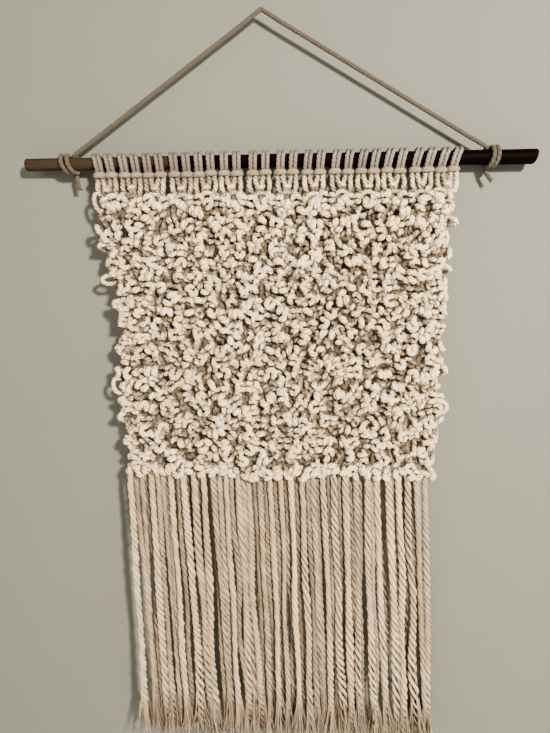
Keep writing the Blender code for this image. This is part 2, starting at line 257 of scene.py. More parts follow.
def tube_batch(rings, ends, runs, tones):
    """Closed tubes through rings (K, stations, sides, 3), each ended by two points (K, 2, 3).

    Quads join each ring to the next and triangles join the outer rings to the ends. u is the run in
    centimetres, and v goes from 0 to 1 around. A tube's tone goes to all of its points.
    """
    count, stations, sides = rings.shape[:3]
    tube, station, corner = np.meshgrid(
        np.arange(count), np.arange(stations - 1), np.arange(sides), indexing="ij"
    )
    here = (tube * stations + station) * sides
    following = here + (corner + 1) % sides
    corner_at = here + corner
    quads = np.stack([corner_at, following, following + sides, corner_at + sides], axis=-1)
    u = 100.0 * runs
    v_low, v_high = corner / sides, (corner + 1) / sides
    u_low = np.broadcast_to(u[:, :-1, None], corner.shape)
    u_high = np.broadcast_to(u[:, 1:, None], corner.shape)
    quad_uv = np.stack([u_low, v_low, u_low, v_high, u_high, v_high, u_high, v_low], axis=-1)
    tube, edge = np.meshgrid(np.arange(count), np.arange(sides), indexing="ij")
    first = tube * stations * sides
    last = first + (stations - 1) * sides
    first_end = count * stations * sides + 2 * tube
    turned_edge = (edge + 1) % sides
    first_tris = np.stack([first + turned_edge, first + edge, first_end], axis=-1)
    last_tris = np.stack([last + edge, last + turned_edge, first_end + 1], axis=-1)
    v_edge, v_next = edge / sides, (edge + 1) / sides
    u_first = np.zeros(edge.shape)
    u_last = np.broadcast_to(u[:, -1, None], edge.shape)
    first_uv = np.stack([u_first, v_next, u_first, v_edge, u_first, v_edge], axis=-1)
    last_uv = np.stack([u_last, v_edge, u_last, v_next, u_last, v_edge], axis=-1)
    return {
        "points": np.concatenate([rings.reshape(-1, 3), ends.reshape(-1, 3)]),
        "quads": quads.reshape(-1, 4),
        "quad_uv": quad_uv.reshape(-1, 2),
        "tris": np.concatenate([first_tris.reshape(-1, 3), last_tris.reshape(-1, 3)]),
        "tri_uv": np.concatenate([first_uv.reshape(-1, 2), last_uv.reshape(-1, 2)]),
        "tone": np.concatenate([np.repeat(tones, stations * sides), np.repeat(tones, 2)]),
    }


def join_batches(name, batches, material):
    """One mesh object from batches of points, quads, tris, their UVs and the cords' tones.

    Its attribute "outer", painted shade between a fringe cord's strands, is 1 but where a batch
    says otherwise, and "open" says how much light a place gets, painted as shade into the colour,
    which is the same all over until the hollows are worked out.
    """
    starts = np.cumsum([0] + [len(batch["points"]) for batch in batches])
    points = np.concatenate([batch["points"] for batch in batches])
    quads = np.concatenate([batch["quads"] + start for batch, start in zip(batches, starts)])
    tris = np.concatenate([batch["tris"] + start for batch, start in zip(batches, starts)])
    uv = np.concatenate([batch[key] for key in ("quad_uv", "tri_uv") for batch in batches])
    mesh = bpy.data.meshes.new(name)
    mesh.vertices.add(len(points))
    mesh.vertices.foreach_set("co", points.astype(np.float32).ravel())
    mesh.loops.add(quads.size + tris.size)
    corners = np.concatenate([quads.ravel(), tris.ravel()])
    mesh.loops.foreach_set("vertex_index", corners.astype(np.int32))
    face_starts = np.concatenate([np.arange(len(quads)) * 4, quads.size + np.arange(len(tris)) * 3])
    mesh.polygons.add(len(face_starts))
    mesh.polygons.foreach_set("loop_start", face_starts.astype(np.int32))
    mesh.polygons.foreach_set("use_smooth", np.ones(len(face_starts), dtype=bool))
    mesh.update(calc_edges=True)
    layer = mesh.uv_layers.new(name="cord")
    layer.data.foreach_set("uv", uv.astype(np.float32).ravel())
    outer = [batch.get("outer", np.ones(len(batch["points"]))) for batch in batches]
    shares = {
        "tone": np.concatenate([batch["tone"] for batch in batches]),
        "outer": np.concatenate(outer),
        "open": np.full(len(points), UNSHADED),
    }
    for key, values in shares.items():
        attribute = mesh.attributes.new(key, "FLOAT", "POINT")
        attribute.data.foreach_set("value", values.astype(np.float32))
    mesh.materials.append(material)
    piece = bpy.data.objects.new(name, mesh)
    bpy.context.scene.collection.objects.link(piece)
    print(f"{name}: {2 * len(quads) + len(tris)} triangles")
    return piece


def place(piece, slot, *nodes):
    """The piece rides with the part and stands for CAD nodes, which it hides.

    The slot is not used.
    """
    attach(piece, BODY)
    if nodes:
        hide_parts(*nodes)


# ---------------------------------------------------------------- places read from the frame

#   a lark's head: heights of the bands that hold its bar and its top, and of its bar's middle
BAR_BAND, TOP_BAND, BAR_MIDDLE = 4.0 * MM, 1.0 * MM, 2.6 * MM
#   levels between which the net's edges are read, and places across where its lower line is
EDGE_LEVELS, FOOT_LEVELS = 19, 15
#   how far the reading of the lower line stays inside the net, left and right
FOOT_MARGINS = (12.0 * MM, 25.0 * MM)


def mesh_points(mesh):
    """The corner points of a mesh as an array."""
    points = np.empty(len(mesh.vertices) * 3, dtype=np.float32)
    mesh.vertices.foreach_get("co", points)
    return points.reshape(-1, 3).astype(float)


def node_points(name):
    """The corner points of a CAD node."""
    return mesh_points(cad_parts[name].data)


def rod_line():
    """The rod's two end centres and radii, from the ends of its CAD node."""
    points = node_points("rod")
    middle = points[:, 0].mean()
    ends = []
    for side in (points[points[:, 0] < middle], points[points[:, 0] > middle]):
        ends.append((side.mean(axis=0), (side[:, 1].max() - side[:, 1].min()) / 2.0))
    return ends


def on_rod(x):
    """The axis point and radius of the rod at each x."""
    (left, left_radius), (right, right_radius) = rod_line()
    share = (np.asarray(x) - left[0]) / (right[0] - left[0])
    axis = left + (right - left) * share[..., None]
    return axis, blend(left_radius, right_radius, share)


def head_places():
    """For every lark's head: x of its bar, x of its top and z of its bar's middle."""
    rows = []
    for number in range(1, HEADS + 1):
        points = node_points(f"larks_head_{number:02d}")
        low, high = points[:, 2].min(), points[:, 2].max()
        bar = points[points[:, 2] < low + BAR_BAND]
        top = points[points[:, 2] > high - TOP_BAND]
        rows.append((middle_of(bar[:, 0]), middle_of(top[:, 0]), low + BAR_MIDDLE))
    return np.array(rows)


def middle_of(values):
    """Halfway between the least and the greatest."""
    return (values.min() + values.max()) / 2.0


def bands(points, axis, levels):
    """The middle between each two neighbouring levels of an axis, with the points between them."""
    for one, other in zip(levels, levels[1:]):
        low, high = min(one, other), max(one, other)
        inside = (points[:, axis] >= low) & (points[:, axis] <= high)
        yield (one + other) / 2.0, points[inside]


def net_sides():
    """Heights with the net's left and right edges there, smoothed over its knots, foot first."""
    points = node_points("knotted_panel")
    levels = np.linspace(points[:, 2].max(), points[:, 2].min(), EDGE_LEVELS)
    rows = [(z, band[:, 0].min(), band[:, 0].max()) for z, band in bands(points, 2, levels)]
    rows = np.array(rows)[::-1]
    rows[1:-1, 1:] = (rows[:-2, 1:] + 2.0 * rows[1:-1, 1:] + rows[2:, 1:]) / 4.0
    return rows


#   how far the knots end inside the net's outline: share down the net, left and right inset in mm
KNOT_INSETS = (
    (0.0, -4.0, 1.0),
    (0.06, -4.0, 5.0),
    (0.13, 0.0, 3.5),
    (0.28, 8.0, 1.0),
    (0.45, 6.5, 0.0),
    (0.52, 3.0, 0.5),
    (0.70, 0.0, 2.0),
    (1.0, 0.0, 4.0),
)


def knot_sides():
    """The net's sides, drawn in by KNOT_INSETS to where the knots end."""
    sides = net_sides()
    down, left_inset, right_inset = np.array(KNOT_INSETS).T
    share = (sides[-1, 0] - sides[:, 0]) / (sides[-1, 0] - sides[0, 0])
    sides[:, 1] += np.interp(share, down, left_inset) * MM
    sides[:, 2] -= np.interp(share, down, right_inset) * MM
    return sides


def net_bottom():
    """Places along the net's lower line: x with z there."""
    points = node_points("knotted_panel")
    left, right = FOOT_MARGINS
    levels = np.linspace(points[:, 0].min() + left, points[:, 0].max() - right, FOOT_LEVELS)
    return np.array([(x, band[:, 2].min()) for x, band in bands(points, 0, levels)])


# ---------------------------------------------------------------- materials


class Graph:
    """A material's node tree with short ways to add and join nodes."""

    def __init__(self, name):
        self.material = bpy.data.materials.new(name)
        self.material.use_nodes = True
        self.tree = self.material.node_tree
        self.shader = self.tree.nodes["Principled BSDF"]

    def add(self, kind, inputs=None, **settings):
        """A node with plain values or linked sockets for its inputs."""
        made = self.tree.nodes.new(kind)
        for key, value in settings.items():
            setattr(made, key, value)
        for key, value in (inputs or {}).items():
            self.put(made.inputs[key], value)
        return made

    def put(self, socket, value):
        """Links a socket to an input, or gives the input a plain value."""
        if isinstance(value, bpy.types.NodeSocket):
            self.tree.links.new(value, socket)
        else:
            socket.default_value = value

    def math(self, operation, first, second=0.0):
        """One sum of two values."""
        return self.add("ShaderNodeMath", {0: first, 1: second}, operation=operation).outputs[0]

    def scaled(self, value, factor, offset):
        """value times factor plus offset."""
        return self.math("ADD", self.math("MULTIPLY", value, factor), offset)

    def object_place(self):
        """The place on the object."""
        return self.add("ShaderNodeTexCoord").outputs["Object"]

    def attribute(self, name):
        """A value kept at the mesh's points."""
        return self.add("ShaderNodeAttribute", attribute_name=name).outputs["Fac"]

    def clamped(self, value):
        """The value kept between 0 and 1."""
        return self.add("ShaderNodeClamp", {"Value": value}).outputs[0]

    def noise(self, vector, scale, detail):
        """Noise from 0 to 1."""
        inputs = {"Vector": vector, "Scale": scale, "Detail": detail}
        return self.add("ShaderNodeTexNoise", inputs).outputs["Fac"]

    def mix(self, share, low, high):
        """The colour at a share of the way from low to high."""
        node = self.add("ShaderNodeMix", data_type="RGBA")
        self.put(node.inputs["Factor"], share)
        sockets = [s for s in node.inputs if s.type == "RGBA"]
        self.put(sockets[0], low)
        self.put(sockets[1], high)
        return [s for s in node.outputs if s.type == "RGBA"][0]

    def bump(self, height, distance, strength, below=None):
        """A normal that follows a height, over the normal of a coarser bump."""
        inputs = {"Height": height, "Distance": distance, "Strength": strength}
        if below is not None:
            inputs["Normal"] = below
        return self.add("ShaderNodeBump", inputs).outputs["Normal"]

    def finish(self, **values):
        """The material, once its shader's inputs are set: Base_Color stands for Base Color."""
        for key, value in values.items():
            self.put(self.shader.inputs[key.replace("_", " ")], value)
        return self.material


#   noises of the cotton: scale, detail and weight in its lightness
FIBRES, PATCHES, FLUFF = (2.6, 4.0, 0.40), (30.0, 3.0, 0.40), (1100.0, 3.0, 0.12)
#   the fibres' place: stretch along a twisted cord and along a single strand, and its ring's size
FIBRE_STRETCH, STRAND_STRETCH, FIBRE_RING = 2.2, 0.55, 3.0
#   length of a yarn's wave in centimetres of run, and how far fibres push it aside, in waves
YARN_WAVE, YARN_WANDER = 0.32, 1.6
#   factor and offset of what else makes cotton lighter or darker: the tone, the painted shade
#   between a fringe cord's strands and the yarns; and the power of the whole
TONE_PART, OUTER_PART, YARN_PART, LIGHTNESS_POWER = (0.24, -0.18), (0.24, -0.24), (0.16, -0.08), 1.5
#   how steeply the painted shade in the hollow between strands falls away, and what cotton is
#   lighter by to make up for it
HOLLOW_POWER, HOLLOW_OFFSET = 2.2, 0.08
#   bumps: depth and strength
CREST_BUMP, YARN_BUMP = (0.5 * MM, 0.7), (0.16 * MM, 0.8)
FIBRE_BUMP, FLUFF_BUMP = (0.6 * MM, 0.8), (0.30 * MM, 0.9)
#   cottons: the setting with the colour of open places, the strands and how dark the painted shade
#   in their grooves is
COTTONS = {
    # the lark's heads' cotton, darker than the net's by painted shade
    "twisted_cotton": ("taut", STRANDS_PER_CORD, 0.30),
    "hanging_grey_cotton": ("hanging_grey", STRANDS_PER_CORD, 0.30),
    "bent_cotton": ("light", STRANDS_PER_CORD, 0.36),
    "loose_cotton": ("loose", 1, 0.0),
}


def cotton(name):
    """One of the COTTONS, made once and shared by the pieces that follow."""
    cord = bpy.context.scene.macrame_cord
    opened, strands, groove = COTTONS[name]
    light = getattr(cord, opened)
    return bpy.data.materials.get(name) or cotton_material(name, light, cord.shade, strands, groove)


def cotton_material(name, light, shade, strands, groove):
    """Cotton of one cord: painted shade in the grooves between strands, yarns round each, uneven in
    lightness.

    The colour runs from shade to light. Its lightness is the openness of the place, which is painted
    shade deep among the cords, plus parts for the cord's tone, for how far out the place lies, which
    is painted shade between a fringe cord's strands, for three noises and, in a cord of more than one
    strand, for painted shade in the grooves and for yarns, all to the power 1.5. The fibres' noise is
    read at (u, 3 cos a, 3 sin a) with a = 2 pi v, which has no seam, and with u stretched.
    """
    graph = Graph(name)
    uv = graph.add("ShaderNodeUVMap", uv_map="cord").outputs["UV"]
    split = graph.add("ShaderNodeSeparateXYZ", {"Vector": uv})
    along, around = split.outputs["X"], split.outputs["Y"]
    angle = graph.math("MULTIPLY", around, 2.0 * math.pi)
    stretch = FIBRE_STRETCH if strands > 1 else STRAND_STRETCH
    ring = graph.add(
        "ShaderNodeCombineXYZ",
        {
            "X": graph.math("MULTIPLY", along, stretch),
            "Y": graph.math("MULTIPLY", graph.math("COSINE", angle), FIBRE_RING),
            "Z": graph.math("MULTIPLY", graph.math("SINE", angle), FIBRE_RING),
        },
    ).outputs[0]
    place_of = graph.object_place()
    fibres = graph.noise(ring, *FIBRES[:2])
    patches = graph.noise(place_of, *PATCHES[:2])
    fluff = graph.noise(place_of, *FLUFF[:2])
    tone = graph.scaled(graph.attribute("tone"), *TONE_PART)
    # painted shade deep among the cords: the openness worked out by the hollows
    lightness = graph.math("ADD", tone, graph.attribute("open"))
    # painted shade in the groove between a fringe cord's strands
    outer = graph.scaled(graph.attribute("outer"), *OUTER_PART)
    lightness = graph.math("ADD", lightness, outer)
    for source, (_, _, weight) in ((fibres, FIBRES), (patches, PATCHES), (fluff, FLUFF)):
        lightness = graph.math("ADD", lightness, graph.scaled(source, weight, -weight / 2.0))
    normal = None
    if strands > 1:
        crest, yarns = strand_waves(graph, angle, along, around, fibres, strands)
        # painted shade in the grooves between strands
        hollow = graph.math("POWER", graph.math("SUBTRACT", 1.0, crest), HOLLOW_POWER)
        lightness = graph.math("ADD", lightness, graph.scaled(hollow, -groove, HOLLOW_OFFSET))
        lightness = graph.math("ADD", lightness, graph.scaled(yarns, *YARN_PART))
        normal = graph.bump(crest, *CREST_BUMP)
        normal = graph.bump(yarns, *YARN_BUMP, normal)
    lightness = graph.math("POWER", graph.clamped(lightness), LIGHTNESS_POWER)
    normal = graph.bump(fibres, *FIBRE_BUMP, normal)
    normal = graph.bump(fluff, *FLUFF_BUMP, normal)
    return graph.finish(
        Base_Color=graph.mix(lightness, (*shade, 1.0), (*light, 1.0)),
        Roughness=0.95,
        Specular_IOR_Level=0.12,
        Sheen_Weight=0.12,
        Sheen_Roughness=0.6,
        Normal=normal,
    )


def strand_waves(graph, angle, along, around, fibres, strands):
    """How high a place lies on its strand, and on its yarn, from 0 in the groove to 1.

    The strand's crest is (1 - cos(strands a)) / 2. Yarns are waves that slant against the strands,
    (1 + sin(2 pi (3 strands v + u / 0.32 + 1.6 fibres))) / 2.
    """
    crest = graph.scaled(graph.math("COSINE", graph.math("MULTIPLY", angle, strands)), -0.5, 0.5)
    slant = graph.math("MULTIPLY", around, 3.0 * strands)
    slant = graph.math("ADD", slant, graph.math("DIVIDE", along, YARN_WAVE))
    slant = graph.math("ADD", slant, graph.math("MULTIPLY", fibres, YARN_WANDER))
    wave = graph.math("SINE", graph.math("MULTIPLY", slant, 2.0 * math.pi))
    return crest, graph.scaled(wave, 0.5, 0.5)


#   wood: how fine its grain is along and across, and the scale and detail of grain and blotches
GRAIN_STRETCH, GRAIN, BLOTCHES = (14.0, 200.0, 200.0), (2.4, 6.0), (60.0, 3.0)
#   where raw turns dark: how far blotches move the edge, its middle's shift, and its steepness per m
EDGE_WANDER, EDGE_SHIFT, EDGE_STEEPNESS = 24.0 * MM, 6.0 * MM, 110.0
RAW_GRAIN, STAINED_GRAIN = (0.026, 0.017, 0.011, 1.0), (0.0060, 0.0023, 0.0015, 1.0)
GRAIN_BUMP, BLOTCH_BUMP = (0.35 * MM, 0.6), (0.6 * MM, 0.4)


def wood_material(name, rod):
    """A stick that is raw at its left end and dark over the rest, with grain along it.

    How dark it is grows with x past the change's place, moved by the blotches' noise. The grain is
    noise that is finer across the stick than along it, by GRAIN_STRETCH.
    """
    graph = Graph(name)
    place_of = graph.object_place()
    drawn = graph.add("ShaderNodeMapping", {"Vector": place_of, "Scale": GRAIN_STRETCH})
    grain = graph.noise(drawn.outputs["Vector"], *GRAIN)
    blotches = graph.noise(place_of, *BLOTCHES)
    x = graph.add("ShaderNodeSeparateXYZ", {"Vector": place_of}).outputs["X"]
    edge = graph.math("ADD", x, graph.math("MULTIPLY", blotches, EDGE_WANDER))
    past = graph.math("SUBTRACT", edge, rod.change_x + EDGE_SHIFT)
    dark = graph.clamped(graph.math("MULTIPLY", past, EDGE_STEEPNESS))
    raw = graph.mix(grain, RAW_GRAIN, (*rod.raw, 1.0))
    stained = graph.mix(grain, (*rod.dark, 1.0), STAINED_GRAIN)
    normal = graph.bump(grain, *GRAIN_BUMP)
    return graph.finish(
        Base_Color=graph.mix(dark, raw, stained),
        Roughness=graph.scaled(grain, 0.25, 0.42),
        Specular_IOR_Level=0.03,
        Normal=graph.bump(blotches, *BLOTCH_BUMP, normal),
    )


# ---------------------------------------------------------------- rod


class MACRAME_OT_rod(bpy.types.Operator):
    """The stick as one fine surface, uneven as a whittled branch, its right end cut at a slant"""

    bl_idname = "macrame.rod"
    bl_label = "Rod"

    def execute(self, context):
        batch = stick_surface(*rod_line())
        material = wood_material("whittled_wood", context.scene.macrame_rod)
        piece = join_batches("wooden_rod", [batch], material)
        place(piece, "dark_wood", "rod")
        return {"FINISHED"}


#   how far the right end leans, as a share of the radius, and the width of the eased edges
ROD_SLANT, ROD_EDGE = 0.24, 2.2 * MM


def stick_surface(left_end, right_end, stations=150, sides=56):
    """A tapered tube with its ends eased, as points of p(s) + r(s, a) (f cos a + u sin a).

    f points forward and u up. r runs from the left radius to the right one, times 1 + small waves in
    s and a, and times 1 - 0.22 (1 - sqrt(1 - 0.98 e^2)) where e goes from 0, one edge width inside an
    end, to 1 at the end. The right end's rings lean by the slant. Seen along the rod the rings run
    the other way round than a cord's, so this piece's faces point inwards.
    """
    (left, left_radius), (right, right_radius) = left_end, right_end
    slant, edge = ROD_SLANT, ROD_EDGE
    length = np.linalg.norm(right - left)
    side_share = edge * np.array([0.0, 0.06, 0.25, 0.6, 1.0]) / length
    inner = np.linspace(side_share[-1], 1.0 - side_share[-1], stations)[1:-1]
    share = np.concatenate([side_share, inner, 1.0 - side_share[::-1]])
    run = share * length
    from_end = np.minimum(run, length - run)
    inset = np.clip(1.0 - from_end / edge, 0.0, 1.0)
    eased = 1.0 - 0.22 * (1.0 - np.sqrt(1.0 - 0.98 * inset**2))
    angle = 2.0 * math.pi * np.arange(sides) / sides
    wave = 0.012 * np.sin(23.0 * share[:, None] + 2.0 * np.sin(angle))
    wave = wave + 0.008 * np.sin(61.0 * share[:, None] + 3.0 * angle)
    radius = blend(left_radius, right_radius, share)[:, None] * (1.0 + wave) * eased[:, None]
    along = unit(right - left)
    forward = np.array([0.0, -1.0, 0.0])
    up = np.cross(forward, along)
    centre = left + (right - left) * share[:, None]
    ring = np.cos(angle)[None, :, None] * forward + np.sin(angle)[None, :, None] * up
    points = centre[:, None] + radius[..., None] * ring
    lean = slant * ease(np.clip((share - 0.97) / 0.03, 0.0, 1.0))[:, None] * radius * np.sin(angle)
    points = points + lean[..., None] * along
    ends = np.stack([points[0].mean(axis=0), points[-1].mean(axis=0)])
    batch = tube_batch(points[None], ends[None], run[None], np.zeros(1))
    batch["tri_uv"][:] = 0.0
    return batch


# ---------------------------------------------------------------- hanging cord

#   where the turns start on the rod, their pitch, and the tail's reach across, out and down
LEFT_TURNS = (-188.6 * MM, 6.1 * MM, (2.2 * MM, 1.2 * MM, 10.5 * MM))
RIGHT_TURNS = (214.2 * MM, 4.6 * MM, (4.4 * MM, 1.2 * MM, 7.5 * MM))
#   the hanging cord's rings, width as a share of its diameter, lay, crests and tone
HANGING_STATIONS, HANGING_WIDTH = 620, 1.04
HANGING_LAY, HANGING_CREST, HANGING_TONE = 13.0 * MM, 0.07, 0.35
TURN_POINTS = 11
LEG_STEP = 24.0 * MM
#   the bend over the nail: half its width and its drop
NAIL_BEND = (2.2 * MM, 0.9 * MM)
#   how far along the crossing behind the turns, and along the tail, their points lie
CROSSING_SHARES = np.array([0.25, 0.5, 0.75, 1.0])
TAIL_SHARES = np.array([0.35, 0.7, 1.0])
#   between the rod and the cord wound round it
GAP = 0.3 * MM


def around_rod(x, turn, clearance):
    """Points round the rod at x: turn 0 is its top, 0.25 its front, 0.5 its underside."""
    axis, radius = on_rod(x)
    angle = 2.0 * math.pi * np.asarray(turn)
    outward = np.stack([np.zeros_like(angle), -np.sin(angle), np.cos(angle)], axis=-1)
    return axis + outward * (radius + clearance)[..., None]


def end_turns(turns, outwards, rope):
    """Two turns round the rod, stepping outwards over its front, and the tail back behind them.

    Over the front, with t from 0 below to 1 above, the step is the pitch times 1 - (1 - t)^2.6. The
    crossing lifts off the rod by up to 1.75 of the cord, so it passes over the turns.
    """
    top_x, pitch, (tail_x, tail_out, tail_down) = turns
    lift = rope / 2.0 + GAP
    wound = 2.0 * np.arange(2 * TURN_POINTS + 1) / (2 * TURN_POINTS)
    front = 1.0 - (1.0 - np.maximum((wound % 1.0 - 0.5) * 2.0, 0.0)) ** 2.6
    turns = around_rod(top_x + outwards * pitch * (np.floor(wound) + front), -wound, lift)
    x = top_x + outwards * pitch * 2.0 * (1.0 - 0.95 * CROSSING_SHARES)
    behind = blend(lift, 1.75 * rope, np.minimum(1.0, 2.0 * CROSSING_SHARES))
    crossing = around_rod(x, -(0.04 + 0.42 * CROSSING_SHARES), behind)
    tail = np.array([tail_x, -tail_out, -tail_down])
    return np.concatenate([turns, crossing, crossing[-1] + tail * TAIL_SHARES[:, None]])


def hanging_route(rope):
    """Left tail and turns, leg, bend over the nail, leg, right turns and tail."""
    left = end_turns(LEFT_TURNS, -1.0, rope)
    right = end_turns(RIGHT_TURNS, 1.0, rope)
    apex = np.array([0.0, 0.0, rope / 2.0])
    side, drop = NAIL_BEND
    nail = apex + np.array([[-side, 0.0, -drop], [0.0, 0.0, 0.0], [side, 0.0, -drop]])
    return np.concatenate([left[::-1], leg(left[0], apex), nail, leg(right[0], apex)[::-1], right])


def leg(foot, apex):
    """Evenly spaced points between a leg's foot and the nail, without either."""
    count = int(np.linalg.norm(apex - foot) / LEG_STEP)
    share = np.arange(1, count + 1) / (count + 1)
    return foot + (apex - foot) * share[:, None]


class MACRAME_OT_hanging_cord(bpy.types.Operator):
    """The taut cord from its left tail over the nail to its right tail"""

    bl_idname = "macrame.hanging_cord"
    bl_label = "Hanging cord"

    def execute(self, context):
        cord = context.scene.macrame_cord
        rope = cord.hanging_diameter
        controls = hanging_route(rope)
        paths = even_paths(smooth_paths(controls[None], HANGING_STATIONS), HANGING_STATIONS)
        radii = np.full(paths.shape[:2], rope / 2.0 * HANGING_WIDTH)
        tones = np.array([HANGING_TONE])
        batch = cord_surfaces(paths, radii, 12, HANGING_LAY, HANGING_CREST, tones)
        frayed = tail_yarns(paths, rope)
        piece = join_batches("hanging_rope", [batch, frayed], cotton("hanging_grey_cotton"))
        place(piece, "hanging_cotton", "hanging_cord")
        return {"FINISHED"}


def even_paths(paths, stations):
    """The same paths with their stations evenly spaced along each run."""
    runs = path_runs(paths)
    wanted = np.linspace(0.0, 1.0, stations)
    evened = np.empty((len(paths), stations, 3))
    for number, (path, run) in enumerate(zip(paths, runs)):
        for axis in range(3):
            evened[number, :, axis] = np.interp(wanted * run[-1], run, path[:, axis])
    return evened


def tail_yarns(paths, rope, yarns=9):
    """Short frayed yarns at both ends of a cord."""
    rng = np.random.default_rng(3)
    ends = np.repeat(paths[0, [0, -1]], yarns, axis=0)
    back = np.repeat(paths[0, [4, -5]], yarns, axis=0)
    return yarn_surfaces(ends, unit(ends - back), rope * 0.42, 4.0 * MM, 0.42 * MM, rng)


def yarn_surfaces(starts, directions, spread, length, thickness, rng):
    """Thin yarns that spread outwards: p(t) = foot + d L t + side spread t^2 + curl t^3.

    A yarn's foot lies 1.5 mm back from its start and a little to its side. Each yarn has its own
    side, length L, spread, curl and thickness, and narrows to half at its tip.
    """
    count = len(starts)
    side = rng.normal(size=(count, 3))
    side -= np.sum(side * directions, axis=1, keepdims=True) * directions
    side = unit(side)
    foot = starts + side * spread * rng.uniform(0.1, 0.8, (count, 1)) - directions * 1.5 * MM
    t = np.linspace(0.0, 1.0, 5)[None, :, None]
    reach = length * rng.uniform(0.55, 1.0, (count, 1, 1))
    bend = side[:, None] * spread * rng.uniform(0.3, 1.8, (count, 1, 1)) * t**2
    curl = rng.normal(size=(count, 1, 3)) * 0.05 * reach * t**3
    paths = foot[:, None] + directions[:, None] * reach * t + bend + curl
    radii = thickness * rng.uniform(0.7, 1.2, (count, 1)) * (1.0 - 0.5 * t[:, :, 0])
    return cord_surfaces(paths, radii, 4, 9.0 * MM, 0.0, rng.uniform(0.2, 1.0, count))


# ---------------------------------------------------------------- lark's heads


class MACRAME_OT_larks_heads(bpy.types.Operator):
    """The heads of the mounted cords: two ropes over the rod and a bar across their front"""

    bl_idname = "macrame.larks_heads"
    bl_label = "Lark's heads"

    def execute(self, context):
        cord = context.scene.macrame_cord
        paths = even_paths(smooth_paths(head_routes(cord.diameter), 180), HEAD_STATIONS)
        rng = np.random.default_rng(28)
        from_bar = np.abs(np.linspace(-1.0, 1.0, paths.shape[1]))
        in_bar = 1.0 - ease(np.clip((from_bar - BAR_SHARE) / BAR_EASE, 0.0, 1.0))
        width = blend(LOOP_WIDTH, BAR_WIDTH, in_bar)[None] * rng.uniform(0.96, 1.04, (HEADS, 1))
        radii = cord.diameter / 2.0 * width
        crest = cord.crest * blend(BENT_CREST, BAR_CREST, in_bar)
        tones = rng.uniform(0.1, 0.9, HEADS)
        batch = cord_surfaces(paths, radii, NET_CORNERS, cord.lay, crest, tones)
        piece = join_batches("mounted_cords", [batch], cotton("twisted_cotton"))
        place(piece, "mounted_cotton", *[f"larks_head_{number:02d}" for number in range(1, HEADS + 1)])
        return {"FINISHED"}


#        half a head from below: turn round the rod (0 top, 0.25 front), lift in ropes past the rod,
#        side in ropes from the head's middle, share of the lean
HALF_HEAD = (
    (0.25, 0.48, 0.47, 0.50),
    (0.17, 0.45, 0.47, 0.78),
    (0.08, 0.38, 0.47, 0.95),
    (0.00, 0.34, 0.48, 1.00),
    (-0.09, 0.40, 0.48, 0.95),
    (-0.18, 0.46, 0.54, 0.78),
    (-0.27, 0.50, 0.62, 0.50),
    (-0.36, 0.54, 0.70, 0.20),
    (-0.45, 0.66, 0.74, 0.05),
)
#   the cord's width in the bar and in the loops, as shares of its diameter
BAR_WIDTH, LOOP_WIDTH = 1.24, 0.97
#   the strands' crests in a bent cord and in a bar, as shares of a straight cord's
BENT_CREST, BAR_CREST = 0.8, 0.25
#   rings along a head, and corners around a cord of the heads and the net
HEAD_STATIONS, NET_CORNERS = 104, 9
#   how much of each half of a head is bar, and over how much it changes into loop
BAR_SHARE, BAR_EASE = 0.08, 0.10
#   how much of its solid's lean a head takes
LEAN_SHARE = 0.75


def head_routes(rope):
    """Control points of all heads: up behind the bar, over the rod, down its back, round the bar.

    Each half starts below the bar, follows HALF_HEAD round the rod and comes out at the bar's side.
    The other half is its mirror image about the head's middle, and both meet in the bar.
    """
    places = head_places()
    bar_x, top_x, bar_z = places.T
    top_x = bar_x + (top_x - bar_x) * LEAN_SHARE
    rng = np.random.default_rng(5)
    bar_z = bar_z + rng.uniform(-0.5, 0.5, HEADS) * MM
    axis, radius = on_rod(bar_x)
    front = axis[:, 1] - radius - 0.52 * rope
    halves = []
    for mirror in (-1.0, 1.0):
        points = [
            np.stack([bar_x + mirror * 0.5 * rope, front + 0.3 * MM, bar_z - 1.2 * rope], axis=-1),
            np.stack([bar_x + mirror * 0.44 * rope, front + 0.3 * MM, bar_z], axis=-1),
        ]
        for turn, lift, side, lean in HALF_HEAD:
            x = bar_x + (top_x - bar_x) * lean + mirror * side * rope
            points.append(around_rod(x, np.full(HEADS, turn), np.full(HEADS, lift * rope)))
        side_x = bar_x + mirror * 0.84 * rope
        points.append(np.stack([side_x, front + 0.55 * rope, bar_z + 0.12 * rope], axis=-1))
        points.append(np.stack([bar_x + mirror * 0.82 * rope, front - 0.30 * rope, bar_z], axis=-1))
        points.append(np.stack([bar_x + mirror * 0.50 * rope, front - 0.82 * rope, bar_z], axis=-1))
        halves.append(np.stack(points, axis=1))
    middle = np.stack([bar_x, front - 0.90 * rope, bar_z], axis=-1)[:, None]
    return np.concatenate([halves[0], middle, halves[1][:, ::-1]], axis=1)


# ---------------------------------------------------------------- net

